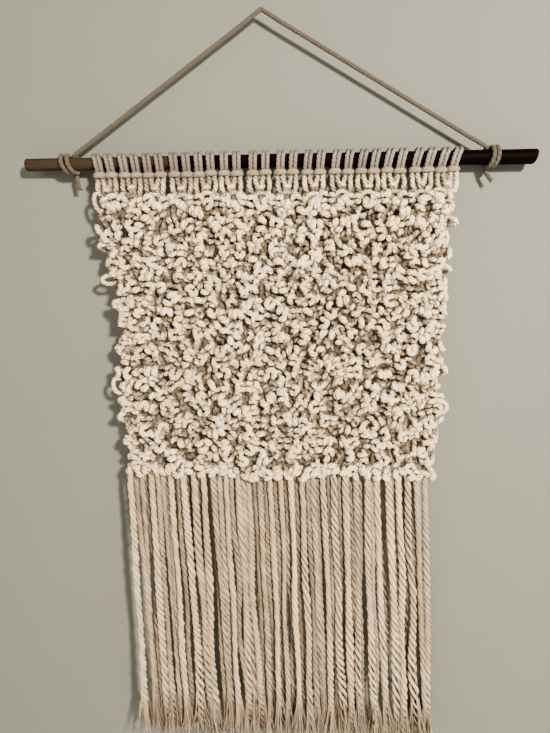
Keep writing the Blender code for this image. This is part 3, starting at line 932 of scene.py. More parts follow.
#   the cords of a square knot from the top down: across, out of the net and up, in mm
LEFT_WORKER = (
    (-5.6, 0.6, 6.0), (-6.4, 2.6, 4.1), (-3.5, 6.2, 3.3), (0.0, 3.0, 2.2),
    (3.5, 6.0, 2.6), (6.2, 1.6, 1.4), (6.2, 1.0, 0.0), (6.2, 1.6, -1.4),
    (3.5, 6.0, -2.6), (0.0, 3.0, -2.2), (-3.5, 6.2, -3.3), (-6.4, 2.4, -4.1),
    (-5.6, 0.6, -6.0),
)
RIGHT_WORKER = (
    (5.6, 0.6, 6.0), (6.8, 3.2, 4.2), (7.0, 3.8, 1.9), (5.6, -0.8, 0.9),
    (2.0, -4.4, 1.4), (-2.0, -4.6, 2.4), (-5.0, -1.4, 3.8), (-5.8, 3.6, 3.6),
    (-6.7, 5.6, 1.2), (-6.9, 4.6, -1.4), (-5.6, -0.8, -2.2), (-2.0, -4.4, -1.6),
    (2.0, -4.6, -1.4), (5.2, -1.6, -2.2), (6.9, 3.2, -2.7), (6.6, 2.4, -4.6),
    (5.6, 0.6, -6.2),
)
FILLER = ((1.9, 0.2, 4.4), (2.1, -0.3, 0.0), (1.9, 0.2, -4.4))
#   the first row's cords, pinched by a collar of their own
FIRST_WORKER = (
    (7.4, 0.6, 6.0), (7.9, 1.2, 3.0), (7.5, 1.4, 0.0), (6.6, 0.8, -3.4), (5.8, 0.6, -6.0),
)
FIRST_FILLER = ((2.7, 0.6, 5.6), (1.5, 1.2, 1.4), (1.9, 0.2, -4.4))
#   points along a worker in a knot, and along a cord before its stations are evened
WORKER_POINTS, PATH_POINTS = 21, 1400

#   arcs laid over a knot: across and up from its middle in mm, turn in degrees, half width, rise
#   and bow in mm, sweep in degrees, and from 0 for an arc that bulges to 1 for a ring along the net
BERRY = (
    (0.4, 3.5, 16.0, 3.2, 7.0, 1.4, 112.0, 0.0),
    (0.0, 0.0, -20.0, 4.0, 9.4, 0.2, 112.0, 0.0),
    (-0.4, -3.6, 24.0, 3.4, 7.4, -1.4, 112.0, 0.0),
)
ROLLED = (
    (-1.9, 2.2, 52.0, 3.6, 7.6, 1.0, 116.0, 0.0),
    (2.6, 0.6, 64.0, 3.8, 9.2, -0.6, 116.0, 0.0),
    (-2.8, -3.4, 8.0, 3.4, 6.4, -1.0, 112.0, 0.0),
)
RING = (
    (0.6, 0.8, 10.0, 4.2, 8.6, 4.3, 156.0, 1.0),
    (-3.4, -3.2, 40.0, 3.6, 5.6, 0.6, 106.0, 0.0),
)
HOOK = (
    (0.8, 1.6, -30.0, 4.4, 8.8, 4.2, 128.0, 0.7),
    (-2.8, -3.0, 50.0, 3.6, 6.0, -0.6, 108.0, 0.0),
)
CAPSULE = (
    (0.0, 0.6, 20.0, 3.8, 8.0, 0.8, 114.0, 0.0),
)
TWO = (
    (-2.4, 1.6, 30.0, 3.4, 7.6, 1.2, 112.0, 0.0),
    (2.6, -1.8, 70.0, 3.4, 7.4, -0.6, 112.0, 0.0),
)
BRIDGE = (
    (-1.6, 1.8, 30.0, 4.6, 2.2, 0.8, 112.0, 0.0),
    (1.8, -1.8, 30.0, 4.6, 2.6, -0.8, 112.0, 0.0),
)
COLLAR = (
    (0.0, 0.9, 0.0, 3.6, 3.4, -0.5, 112.0, 0.0),
)
ARCH = (
    (0.0, 0.9, 0.0, 10.2, 2.8, 10.2, 98.0, 0.0),
)
#   arcs, share of the places, largest turn of the whole in degrees, width as a share of the cord
RAISED_KINDS = (
    (BERRY, 0.22, 90.0, 1.38),
    (ROLLED, 0.18, 180.0, 1.38),
    (RING, 0.12, 180.0, 1.24),
    (HOOK, 0.16, 180.0, 1.30),
    (CAPSULE, 0.14, 180.0, 1.46),
    (TWO, 0.18, 180.0, 1.40),
    (BRIDGE, 0.0, 180.0, 1.10),
    (ARCH, 0.0, 6.0, 1.02),
    (COLLAR, 0.0, 4.0, 0.98),
)
BERRIES, RINGS, BRIDGES, ARCHES, COLLARS = 0, 2, 6, 7, 8
#   how far the raised knots of the second row hang below the places between its square knots
FIRST_SAG = 4.5 * MM


def even_template(rows, count):
    """The curve through a table's points, as evenly spaced points in metres."""
    return even_paths(smooth_paths(np.array(rows)[None] * MM, 240), count)[0]


def mirrored(points):
    """The points with left and right swapped."""
    return points * np.array([-1.0, 1.0, 1.0])


def by_mirror(left, right):
    """Points by mirror (0 or 1) and side (0 left, 1 right): mirrored, the sides change places."""
    return np.stack([np.stack([left, right]), np.stack([mirrored(right), mirrored(left)])])


def knot_templates(left, right, filler):
    """A knot's points of workers and of fillers, each as by_mirror, from tables in mm."""
    left, right = (even_template(table, WORKER_POINTS) for table in (left, right))
    filler = np.array(filler) * MM
    return by_mirror(left, right), by_mirror(mirrored(filler), filler)


#   rows over which the knots grow from even to fully uneven
EVEN_ROWS = 3.0
#   their unevenness: spreads across and down in mm and the largest turn in degrees, then spreads of
#   turn, lean and swing in degrees, as in the first row and what they grow by
SHIFT_ACROSS, SHIFT_DOWN, LARGEST_TURN = 1.0, 1.1, 75.0
TURN_SPREAD, LEAN_SPREAD, SWING_SPREAD = (5.0, 32.0), (4.0, 12.0), (4.0, 14.0)
#   ranges of their sizes and, in mm, of their lifts out of the net; width of the first row's
KNOT_SIZES, KNOT_LIFTS, FIRST_WIDTH = (0.98, 1.18), (-2.4, 3.2), 1.10
#   how far the last row stays over the net's lower line, and the outer knots inside its edges
FOOT_RISE, EDGE_INSET = 7.0 * MM, 6.6 * MM


def net_knots(net):
    """Every row's knots: their middles, turns, tilts, sizes, mirrors and lifts.

    Even rows have a knot of four ends under each pair of bars. Odd rows have one between each two of
    those, and half a knot, of two ends, at each edge. A knot keeps its share of the way from edge to
    edge, and rows are evenly spaced down.
    """
    rng = np.random.default_rng(net.seed)
    places = head_places()
    pair_x = places[:, 0].reshape(PAIRS, 2).mean(axis=1)
    pair_z = places[:, 2].reshape(PAIRS, 2).mean(axis=1)
    sides, bottom = knot_sides(), net_bottom()
    rows = []
    for row in range(net.rows):
        share = (np.arange(PAIRS) + 0.5) / PAIRS if row % 2 == 0 else np.arange(PAIRS + 1) / PAIRS
        loose = min(1.0, row / EVEN_ROWS)
        level = np.interp(share, (np.arange(PAIRS) + 0.5) / PAIRS, pair_x)
        top_z = np.interp(level, pair_x, pair_z) - net.first_row_drop
        foot_z = np.interp(level, bottom[:, 0], bottom[:, 1]) + FOOT_RISE
        z = blend(top_z, foot_z, row / (net.rows - 1.0))
        inset = np.where(share == 0.0, EDGE_INSET, np.where(share == 1.0, -EDGE_INSET, 0.0))
        x = blend(level, across(share, z, sides), ease(loose)) + inset
        count = len(share)
        turn, lean, swing = (
            start + growth * loose for start, growth in (TURN_SPREAD, LEAN_SPREAD, SWING_SPREAD)
        )
        rows.append(
            {
                "x": x + loose * rng.normal(0.0, SHIFT_ACROSS * MM, count),
                "z": z + loose * rng.normal(0.0, SHIFT_DOWN * MM, count),
                "turn": np.radians(
                    np.clip(rng.normal(0.0, turn, count), -LARGEST_TURN, LARGEST_TURN)
                ),
                "lean": np.radians(rng.normal(0.0, lean, count)),
                "swing": np.radians(rng.normal(0.0, swing, count)),
                "size": rng.uniform(*KNOT_SIZES, count),
                "wide": np.full(count, blend(FIRST_WIDTH, 1.0, loose)),
                "mirror": rng.integers(0, 2, count),
                "lift": rng.uniform(*KNOT_LIFTS, count) * MM * loose,
            }
        )
    return rows


def edges_at(z, sides):
    """The x of the left and of the right edge at height z."""
    return np.interp(z, sides[:, 0], sides[:, 1]), np.interp(z, sides[:, 0], sides[:, 2])


def across(share, z, sides):
    """The x of a share between the net's edges at height z."""
    return blend(*edges_at(z, sides), share)


def rotated(first, second, angle):
    """Two coordinates turned by an angle, the second towards the first."""
    cosine, sine = np.cos(angle), np.sin(angle)
    return first * cosine + second * sine, second * cosine - first * sine


def turned(points, knots, middle_y):
    """Knots' own points (across, out, up) as places in the frame.

    Each knot is leaned about the across axis, swung about the up axis, turned in the net's face and
    moved to its middle, with out pointing along -Y.
    """
    size = knots["size"][:, None]
    x = points[..., 0] * size * knots["wide"][:, None]
    out = points[..., 1] * size
    up = points[..., 2] * size
    out, up = rotated(out, up, knots["lean"][:, None])
    x, out = rotated(x, out, knots["swing"][:, None])
    up, x = rotated(up, x, knots["turn"][:, None])
    y = middle_y - knots["lift"][:, None] - out
    return np.stack([knots["x"][:, None] + x, y, knots["z"][:, None] + up], axis=-1)


#   an end's way out of its bar: how far over its middle it starts, then across, out and down below
BAR_START, BELOW_BAR = 2.0 * MM, (0.6 * MM, 0.4 * MM, 4.2 * MM)
#   how unevenly an end follows its knot, and how far back and down it leaves the last one
END_WANDER, LEAVING = 0.50 * MM, (1.6 * MM, 3.0 * MM)


def strand_controls(net, rope):
    """Points that the 56 ends pass, in two groups: ends that work in even rows and in odd ones.

    End n takes part in knot n // 4 of an even row and (n + 2) // 4 of an odd one, where the
    remainder says its side: 0 left worker, 1 and 2 fillers, 3 right worker.
    """
    rng = np.random.default_rng(net.seed + 3)
    templates = knot_templates(LEFT_WORKER, RIGHT_WORKER, FILLER)
    first_left = [(-across, out, up) for across, out, up in FIRST_WORKER]
    first = knot_templates(first_left, FIRST_WORKER, FIRST_FILLER)
    rows = net_knots(net)
    places = head_places()
    aside, out, down = BELOW_BAR
    groups = []
    for group in work_groups():
        side = np.where(group % 2 == 0, -0.5, 0.5) * rope
        bar_x, bar_z = places[group // 2, 0] + side, places[group // 2, 2]
        axis, radius = on_rod(bar_x)
        front = axis[:, 1] - radius - 0.45 * rope
        outward = np.where(group % 4 < 2, -1.0, 1.0) * np.isin(group % 4, (0, 3))
        parts = [
            np.stack([bar_x, front, bar_z + BAR_START], axis=-1)[:, None],
            np.stack([bar_x + outward * aside, front - out, bar_z - down], axis=-1)[:, None],
        ]
        for row, knots in enumerate(rows):
            knot, role = np.divmod(group + 2 * (row % 2), 4)
            chosen = {key: value[knot] for key, value in knots.items()}
            table = (first if row == 0 else templates)[0 if np.isin(role[0], (0, 3)) else 1]
            points = table[chosen["mirror"], (role > 1).astype(int)]
            points = points + rng.normal(0.0, END_WANDER * min(1.0, row / 2.0), points.shape)
            parts.append(turned(points, chosen, net.middle_y))
        last = parts[-1][:, -1:].copy()
        last[..., 1:] += np.array([LEAVING[0], -LEAVING[1]])
        parts.append(last)
        groups.append(np.concatenate(parts, axis=1))
    return groups


def work_groups():
    """Numbers of the ends that work in even rows, and of those that work in odd ones."""
    ends = np.arange(ENDS)
    working_first = np.isin(ends % 4, (0, 3))
    return ends[working_first], ends[~working_first]


def arc_paths(middle, turn, half, rise, bow, sweep, ring, stations=15):
    """Arcs of cord that stand out of the net.

    With s from -1 to 1 and a = s sweep, a point lies half sin a across, bow cos a up and, out of the
    net, rise times cos a for a plain arc or 1 - 1.3 s^6 for a ring. Across and up are turned in the
    net's face by the arc's own turn.
    """
    s = np.linspace(-1.0, 1.0, stations)[None]
    a = s * sweep[:, None]
    over = half[:, None] * np.sin(a)
    up = bow[:, None] * np.cos(a)
    out = rise[:, None] * blend(np.cos(a), 1.0 - 1.3 * s**6, ring[:, None])
    up, over = rotated(up, over, turn[:, None])
    return middle[:, None] + np.stack([over, -out, up], axis=-1)


#   unevenness of the arcs, as spreads: place in the net's face, place out of it and bow in mm, turn
#   in radians, and half width and rise as shares; and the share of its table's half width it has
ARC_SHIFT, ARC_DEPTH, ARC_BOW, ARC_TURN, ARC_HALF, ARC_RISE = 0.5, 0.4, 0.6, 0.16, 0.10, 0.11
ARC_NARROWING = 0.82


def raised_arcs(kind, x, z, y, turn, size, rng):
    """Arrays for arc_paths: every arc of one kind at every place, each a little uneven."""
    table = np.array(kind)
    arcs, count = len(table), len(x)
    cell = (count, arcs)
    cosine, sine = np.cos(turn)[:, None], np.sin(turn)[:, None]
    over = size[:, None] * table[:, 0] * MM
    up = size[:, None] * table[:, 1] * MM
    middle = np.stack(
        [
            x[:, None] + over * cosine - up * sine + rng.normal(0.0, ARC_SHIFT * MM, cell),
            np.broadcast_to(y[:, None], cell) + rng.normal(0.0, ARC_DEPTH * MM, cell),
            z[:, None] + over * sine + up * cosine + rng.normal(0.0, ARC_SHIFT * MM, cell),
        ],
        axis=-1,
    )
    half = size[:, None] * ARC_NARROWING * table[:, 3] * MM
    values = {
        "middle": middle,
        "turn": turn[:, None] + np.radians(table[:, 2]) + rng.normal(0.0, ARC_TURN, cell),
        "half": half * (1.0 + rng.normal(0.0, ARC_HALF, cell)),
        "rise": size[:, None] * table[:, 4] * MM * (1.0 + rng.normal(0.0, ARC_RISE, cell)),
        "bow": size[:, None] * (table[:, 5] + rng.normal(0.0, ARC_BOW, cell)) * MM,
        "sweep": np.radians(np.broadcast_to(table[:, 6], cell)),
        "ring": np.broadcast_to(table[:, 7], cell),
    }
    return {key: value.reshape(count * arcs, *value.shape[2:]) for key, value in values.items()}


def arcs_batch(arcs, rope, stations, lay, crest, rng):
    """Surfaces of arcs of cord, each with a width and a tone of its own."""
    paths = arc_paths(**arcs, stations=stations)
    count = len(paths)
    radii = np.full((count, stations), rope / 2.0) * rng.uniform(0.94, 1.08, (count, 1))
    return cord_surfaces(paths, radii, NET_CORNERS, lay, crest, rng.uniform(0.0, 1.0, count))


class MACRAME_OT_net(bpy.types.Operator):
    """The 56 ends knotted in alternating rows of square knots, from the bars to the fringe"""

    bl_idname = "macrame.net"
    bl_label = "Net"

    def execute(self, context):
        cord, net = context.scene.macrame_cord, context.scene.macrame_net
        rng = np.random.default_rng(net.seed + 4)
        groups = strand_controls(net, cord.diameter)
        paths = np.concatenate([smooth_paths(controls, PATH_POINTS) for controls in groups])
        paths = even_paths(paths, net.stations)
        rng.shuffle(paths)
        radii = cord.diameter / 2.0 * net.plump * rng.uniform(0.97, 1.04, (ENDS, 1))
        radii = np.broadcast_to(radii, paths.shape[:2])
        tones = rng.uniform(0.0, 1.0, ENDS)
        crest = BENT_CREST * cord.crest
        for third, part in enumerate(np.array_split(np.arange(ENDS), 3), start=1):
            batch = cord_surfaces(paths[part], radii[part], NET_CORNERS, cord.lay, crest, tones[part])
            piece = join_batches(f"net_cords_{third}", [batch], cotton("bent_cotton"))
            place(piece, "knotted_cotton", "knotted_panel")
        return {"FINISHED"}


#   how far the lowest raised knots reach past the last row's, and in mm how far they hang under it
FOOT_REACH, FOOT_DROPS = 4.0 * MM, (2.0, 6.0)
#   ranges of the raised knots' sizes and, in mm, of their lifts; the second row's size
RAISED_SIZES, RAISED_LIFTS, SECOND_SIZE = (0.88, 1.12), (-1.6, 4.4), 0.86
RAISED_STATIONS, LOOP_STATIONS = 13, 27
#   edge loops: share down the net, side (-1 left, 1 right), out from the edge and radii in mm,
#   turn in degrees
EDGE_LOOPS = (
    (0.112, 1, -9.5, 5.6, 5.4, 0.0),
    (0.045, -1, -2.5, 4.4, 8.6, 12.0),
    (0.30, -1, -7.5, 7.2, 4.0, 0.0),
    (0.66, -1, -2.0, 5.2, 7.6, 12.0),
    (0.79, 1, -4.5, 4.8, 5.4, -20.0),
)
#   how far behind the net's middle the edge loops lie, how far they stand out, their sweep in
#   degrees and their width as a share of the cord
LOOP_BACK, LOOP_RISE, LOOP_SWEEP, LOOP_PLUMP = 1.0 * MM, 4.5 * MM, 165.0, 0.95


class MACRAME_OT_raised_knots(bpy.types.Operator):
    """Berries, rings and loops that stand out of the net between its square knots"""

    bl_idname = "macrame.raised_knots"
    bl_label = "Raised knots"

    def execute(self, context):
        cord, net = context.scene.macrame_cord, context.scene.macrame_net
        rng = np.random.default_rng(net.seed + 5)
        x, z, row, kind, size, lift = raised_knots(net, rng)
        halves = {"upper_raised_knots": [], "lower_raised_knots": [edge_loops(net, cord, rng)]}
        upper = row <= net.rows // 2
        for number, (arcs, _, largest, plump) in enumerate(RAISED_KINDS):
            for name, half in zip(halves, (upper, ~upper)):
                chosen = half & (kind == number)
                if not chosen.any():
                    continue
                turn = np.radians(largest) * rng.uniform(-1.0, 1.0, chosen.sum())
                y = net.middle_y - lift[chosen]
                made = raised_arcs(arcs, x[chosen], z[chosen], y, turn, size[chosen], rng)
                rope, crest = cord.diameter * plump, BENT_CREST * cord.crest
                halves[name].append(arcs_batch(made, rope, RAISED_STATIONS, cord.lay, crest, rng))
        for name, batches in halves.items():
            piece = join_batches(name, batches, cotton("bent_cotton"))
            place(piece, "knotted_cotton", "knotted_panel")
        return {"FINISHED"}


def raised_knots(net, rng):
    """Places x and z, rows, kinds, sizes and lifts of all raised knots.

    The first row has a collar round each knot. The second has only berries, rolls and rings, with an
    arch over each. A bare place has a bridge behind.
    """
    x, z, row, bare = raised_places(net, rng)
    kind = rng.choice(len(RAISED_KINDS), size=len(x), p=[share for _, share, _, _ in RAISED_KINDS])
    second = row == 1
    others = [COLLARS, BERRIES, BRIDGES]
    kind = np.select([row == 0, second & (kind > RINGS), bare], others, kind)
    size = np.where(row == 0, 1.0, rng.uniform(*RAISED_SIZES, len(x)))
    size = np.where(second, SECOND_SIZE * size, size)
    lift = np.where((row == 0) | bare, 0.0, rng.uniform(*RAISED_LIFTS, len(x))) * MM
    knots = (x, z, row, kind, size, lift)
    x, z, row, kind, size, lift = (np.concatenate([one, one[second]]) for one in knots)
    kind[-PAIRS:] = ARCHES
    size[-PAIRS:] = 1.0
    return x, z, row, kind, size, lift


def edge_loops(net, cord, rng):
    """The largest rings at the net's edges, by the rows of EDGE_LOOPS."""
    sides = net_sides()
    down, side, out, wide, high, turn = np.array(EDGE_LOOPS).T
    z = blend(sides[-1, 0], sides[0, 0], down)
    left, right = edges_at(z, sides)
    x = np.where(side < 0.0, left, right) + side * out * MM
    count = len(z)
    made = {
        "middle": np.stack([x, np.full(count, net.middle_y + LOOP_BACK), z], axis=-1),
        "turn": np.radians(turn) + np.where(side < 0.0, math.pi / 2.0, -math.pi / 2.0),
        "half": high * MM,
        "rise": np.full(count, LOOP_RISE),
        "bow": wide * MM,
        "sweep": np.full(count, math.radians(LOOP_SWEEP)),
        "ring": np.full(count, 1.0),
    }
    return arcs_batch(made, cord.diameter * LOOP_PLUMP, LOOP_STATIONS, cord.lay, cord.crest, rng)


def raised_places(net, rng):
    """Places of raised knots, their rows, and whether they are left bare but for a bridge behind.

    They are the first row's knots, the places between the knots of each other row but the last and,
    over the start of the fringe, two places for every pair, which count as one row more. The second
    row's places sag by FIRST_SAG.
    """
    rows = net_knots(net)
    last = rows[-1]
    foot_x = np.linspace(last["x"][0] - FOOT_REACH, last["x"][-1] + FOOT_REACH, 2 * PAIRS)
    foot_z = np.interp(foot_x, last["x"], last["z"]) - rng.uniform(*FOOT_DROPS, 2 * PAIRS) * MM
    x, z = [rows[0]["x"], foot_x], [rows[0]["z"], foot_z]
    row_of = [np.zeros(PAIRS, dtype=int), np.full(2 * PAIRS, net.rows)]
    for row in range(1, net.rows - 1):
        knots = rows[row]
        x.append((knots["x"][1:] + knots["x"][:-1]) / 2.0)
        z.append((knots["z"][1:] + knots["z"][:-1]) / 2.0)
        row_of.append(np.full(len(x[-1]), row))
    x, z, row_of = np.concatenate(x), np.concatenate(z), np.concatenate(row_of)
    z = np.where(row_of == 1, z - FIRST_SAG, z)
    bare = (rng.uniform(size=len(x)) > net.raised) & (row_of > 1) & (row_of < net.rows)
    return x, z, row_of, bare


# ---------------------------------------------------------------- fringe


#   the free ends' places: inside the fringe's solid and inside the net, and spreads above and below
FRINGE_MARGIN, NET_MARGIN, TOP_SPREAD, FOOT_SPREAD = 2.5 * MM, 4.0 * MM, 0.9 * MM, 1.8 * MM
#   where the ends stop at the left, how far over the solid's foot at the right, and their spread
LEFT_STOP, RIGHT_STOP, STOP_SPREAD = -713.0 * MM, 11.0 * MM, 5.5 * MM
#   how far up over the net's lower line an end starts
TOP_RISE = 9.0 * MM
#   waves along an end, in mm and radians over its length: slow and quick ones across, one in depth
SLOW_WAVE, QUICK_WAVE, DEPTH_WAVE = (1.15, 4.2), (0.8, 13.0), (1.4, 5.0)
#   layers in mm past the fringe's middle: of odd and even ends, their spread and their limits
LAYERS, LAYER_SPREAD, LAYER_LIMITS = (1.6, -2.0), 2.2, (-5.4, 5.2)
CENTRE_STATIONS = 70


def fringe_centres(fringe):
    """Centre lines of the 56 free ends, how loose each is, and the random numbers' generator.

    x(s) goes from the end's own even place under the net to one at the fringe's foot, with two waves
    that grow with s. y(s) settles in the end's own layer, with one more wave.
    """
    rng = np.random.default_rng(fringe.seed)
    low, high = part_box("fringe")
    order = (np.arange(ENDS) + 0.5) / ENDS
    even_x = blend(low.x + FRINGE_MARGIN, high.x - FRINGE_MARGIN, order)
    _, net_left, net_right = net_sides()[2]
    own_x = even_x + rng.normal(0.0, TOP_SPREAD, ENDS)
    own_x = np.clip(own_x, net_left + NET_MARGIN, net_right - NET_MARGIN)
    foot_x = np.clip(even_x + rng.normal(0.0, FOOT_SPREAD, ENDS), low.x, high.x)
    foot_z = blend(LEFT_STOP, low.z + RIGHT_STOP, order) + rng.normal(0.0, STOP_SPREAD, ENDS)
    foot_z = np.maximum(foot_z, low.z)
    bottom = net_bottom()
    top_z = np.interp(own_x, bottom[:, 0], bottom[:, 1]) + TOP_RISE
    s = np.linspace(0.0, 1.0, CENTRE_STATIONS)[None]
    settled = ease(np.minimum(1.0, 20.0 * s))
    phase = rng.uniform(0.0, 2.0 * math.pi, (3, ENDS, 1))
    size = np.abs(rng.normal(0.0, 1.0, (2, ENDS, 1)))
    grow = np.minimum(1.0, 2.2 * s)
    x = blend(own_x[:, None], foot_x[:, None], ease(s))
    reach, turns = SLOW_WAVE
    x = x + grow * reach * MM * size[0] * (np.sin(turns * s + phase[0]) - np.sin(phase[0]))
    reach, turns = QUICK_WAVE
    x = x + grow * reach * MM * size[1] * np.sin(turns * s + phase[1])
    odd, even = LAYERS
    layer = np.where(np.arange(ENDS) % 2, odd, even) + rng.normal(0.0, LAYER_SPREAD, ENDS)
    layer = np.clip(layer, *LAYER_LIMITS) * MM
    reach, turns = DEPTH_WAVE
    wave = reach * MM * np.sin(turns * s + phase[2]) * grow
    y = FRINGE_Y + blend(0.4, 1.0, settled) * layer[:, None] + wave
    z = blend(top_z[:, None], foot_z[:, None], s)
    looseness = np.clip(rng.beta(1.1, 2.4, ENDS) * 1.25, 0.0, 1.0)
    return np.stack([x, y, z], axis=-1), looseness, rng


#   parts of a strand's tone that are its own and its cord's, and the strands' corners
STRAND_TONE, CORD_TONE, STRAND_CORNERS = 0.3, 0.7, 6
#   a strand's twist: two yarns, their lay and their crests
STRAND_YARNS, STRAND_LAY, STRAND_CREST = 2, 45.0 * MM, 0.07
#   range of the strands' widths
STRAND_WIDTHS = (0.78, 1.16)


class MACRAME_OT_fringe(bpy.types.Operator):
    """The 56 free ends, each of three strands, the looser the nearer the foot, with frayed yarns"""

    bl_idname = "macrame.fringe"
    bl_label = "Fringe"

    def execute(self, context):
        fringe = context.scene.macrame_fringe
        centres, looseness, rng = fringe_centres(fringe)
        strands = strand_paths(centres, looseness, fringe, rng)
        radii = strand_radii(fringe, *strands.shape[:2], rng)
        tones = STRAND_TONE * rng.uniform(0.0, 1.0, len(strands))
        tones = tones + CORD_TONE * np.repeat(rng.uniform(0.0, 1.0, ENDS), STRANDS_PER_CORD)
        middles = np.repeat(centres, STRANDS_PER_CORD, axis=0)
        half = len(strands) // 2
        for name, part in (("fringe_left", slice(0, half)), ("fringe_right", slice(half, None))):
            batch = cord_surfaces(
                strands[part], radii[part], STRAND_CORNERS, STRAND_LAY, STRAND_CREST, tones[part],
                STRAND_YARNS,
            )
            # painted shade in the groove between each cord's strands
            batch["outer"] = outer_share(batch["points"], middles[part], *radii[part].shape)
            batches = [batch, frayed_ends(strands[part], rng)]
            piece = join_batches(name, batches, cotton("loose_cotton"))
            place(piece, "fringe_cotton", "fringe")
        return {"FINISHED"}


def strand_radii(fringe, count, stations, rng):
    """Radii of the strands along their length, with s from 0 at the net to 1 at the foot.

    A strand has its own width, times a wave of 12 percent, times 0.8 + 4 s and 0.25 + 6 (1 - s), both
    kept to 1 at most, so it starts a little narrower and ends at a quarter.
    """
    s = np.linspace(0.0, 1.0, stations)
    fullness = (np.minimum(1.0, 0.80 + 4.0 * s) * np.minimum(1.0, 0.25 + 6.0 * (1.0 - s)))[None]
    radii = fringe.strand / 2.0 * fullness * rng.uniform(*STRAND_WIDTHS, (count, 1))
    return radii * (1.0 + 0.12 * np.sin(17.0 * s[None] + rng.uniform(0.0, 6.3, (count, 1))))


def outer_share(points, middles, strands, stations):
    """Painted shade in the groove between a cord's strands: 0 there to 1 outside,
    ease((d / D - 0.5) / 0.4).

    d is a point's level distance from its cord's centre line and D the largest around its ring.
    """
    count = strands * stations * STRAND_CORNERS
    rings = points[:count].reshape(strands, stations, STRAND_CORNERS, 3)
    apart = np.linalg.norm((rings - middles[:, :, None])[..., :2], axis=-1)
    share = apart / apart.max(axis=2, keepdims=True)
    outer = ease(np.clip((share - 0.5) / 0.4, 0.0, 1.0))
    return np.concatenate([outer.ravel(), np.ones(2 * strands)])


#   how wide the strands wind, as a share of a strand's diameter and the range of its unevenness
WINDING, WINDING_WIDTHS = 0.36, (0.92, 1.30)


def strand_paths(centres, looseness, fringe, rng):
    """Three strands wound round each centre line: c(s) + w(s) (cos a, 0.8 sin a, 0).

    a = 2 pi (run / lay + k / 3) for strand k, plus a shift of the cord's own and 1.3 of a sine along
    it. w is 0.36 of a strand times the cord's own width, times 1 + looseness (0.3 + 0.6 ease(s)) and
    a wave of 0.26. Looser cords also have a longer lay.
    """
    count, stations = centres.shape[:2]
    s = np.linspace(0.0, 1.0, stations)[None]
    loose = looseness[:, None]
    tight = WINDING * fringe.strand * rng.uniform(*WINDING_WIDTHS, (count, 1))
    uneven = 0.26 * np.sin(11.0 * s + loose * 40.0)
    winding = tight * (1.0 + loose * (0.3 + 0.6 * ease(s)) + uneven)
    lay = fringe.lay * (1.0 + 0.45 * loose) * rng.uniform(0.85, 1.15, (count, 1))
    runs = path_runs(centres)
    paths = []
    for strand in range(STRANDS_PER_CORD):
        angle = 2.0 * math.pi * (runs / lay + strand / STRANDS_PER_CORD) + loose * 50.0
        angle = angle + 1.3 * np.sin(14.0 * s + loose * 30.0)
        x, y = winding * np.cos(angle), 0.8 * winding * np.sin(angle)
        paths.append(centres + np.stack([x, y, np.zeros_like(angle)], axis=-1))
    return np.stack(paths, axis=1).reshape(count * STRANDS_PER_CORD, stations, 3)


def frayed_ends(strands, rng, yarns=16):
    """Yarns that come loose near the foot of every strand and spread into a tassel."""
    ends = np.repeat(strands[:, -9], yarns, axis=0)
    back = np.repeat(strands[:, -16], yarns, axis=0)
    return yarn_surfaces(ends, unit(ends - back), 2.2 * MM, 47.0 * MM, 0.52 * MM, rng)


# ---------------------------------------------------------------- hollows: painted shade deep among the cords

NET_PIECES = (
    "mounted_cords",
    "net_cords_1",
    "net_cords_2",
    "net_cords_3",
    "upper_raised_knots",
    "lower_raised_knots",
)
FRINGE_PIECES = ("fringe_left", "fringe_right")
#   pieces, cell across and down, and blurs of their face: across, down, and the depth over which
#   cotton goes from painted shade to open, all in mm
HOLLOW_GROUPS = (
    (NET_PIECES, (1.5, 1.5), ((2.2, 2.2, 21.0), (8.0, 8.0, 5.8))),
    (FRINGE_PIECES, (0.8, 4.6), ((1.8, 6.0, 15.0), (5.0, 9.0, 15.0))),
)
#   the face's height where there is no cotton, and how open cotton is that lies level with its face
HOLLOW_REST, LEVEL_OPENNESS = -3.0 * MM, 0.50


class MACRAME_OT_hollows(bpy.types.Operator):
    """Painted shade deep among the cords: how open each place of the cotton is"""

    bl_idname = "macrame.hollows"
    bl_label = "Hollows"

    def execute(self, context):
        middle_y = context.scene.macrame_net.middle_y
        for names, cell, blurs in HOLLOW_GROUPS:
            meshes = [bpy.data.objects[name].data for name in names]
            points = [mesh_points(mesh) for mesh in meshes]
            ends = np.cumsum([len(part) for part in points])
            cell, blurs = np.array(cell) * MM, np.array(blurs) * MM
            opened = openness(np.concatenate(points), middle_y, cell, blurs)
            for mesh, part in zip(meshes, np.split(opened, ends[:-1])):
                mesh.attributes["open"].data.foreach_set("value", part.astype(np.float32))
        return {"FINISHED"}


def openness(points, middle_y, cell, blurs):
    """How open a place is, for painted shade: 0 deep among cords to 1 on what stands out,
    the larger of the front's and the back's.

    For either face, with h the height over the middle plane and H the height of the outermost cotton
    of each cell, blurred, it is the level openness plus the sum over the blurs of (h - H) / span,
    kept between 0 and 1.
    """
    low = points[:, [0, 2]].min(axis=0)
    cells = ((points[:, [0, 2]] - low) / cell).astype(int)
    shape = tuple(cells.max(axis=0) + 1)
    place_of = (cells[:, 0], cells[:, 1])
    found = np.zeros(len(points))
    for face in (-1.0, 1.0):
        height = face * (points[:, 1] - middle_y)
        level = np.full(shape, HOLLOW_REST)
        np.maximum.at(level, place_of, height)
        shown = np.full(len(points), LEVEL_OPENNESS)
        for across, down, span in blurs:
            rows = blur_matrix(shape[0], cell[0], across)
            columns = blur_matrix(shape[1], cell[1], down)
            shown += (height - (rows.T @ level @ columns)[place_of]) / span
        found = np.maximum(found, shown)
    return np.clip(found, 0.0, 1.0)


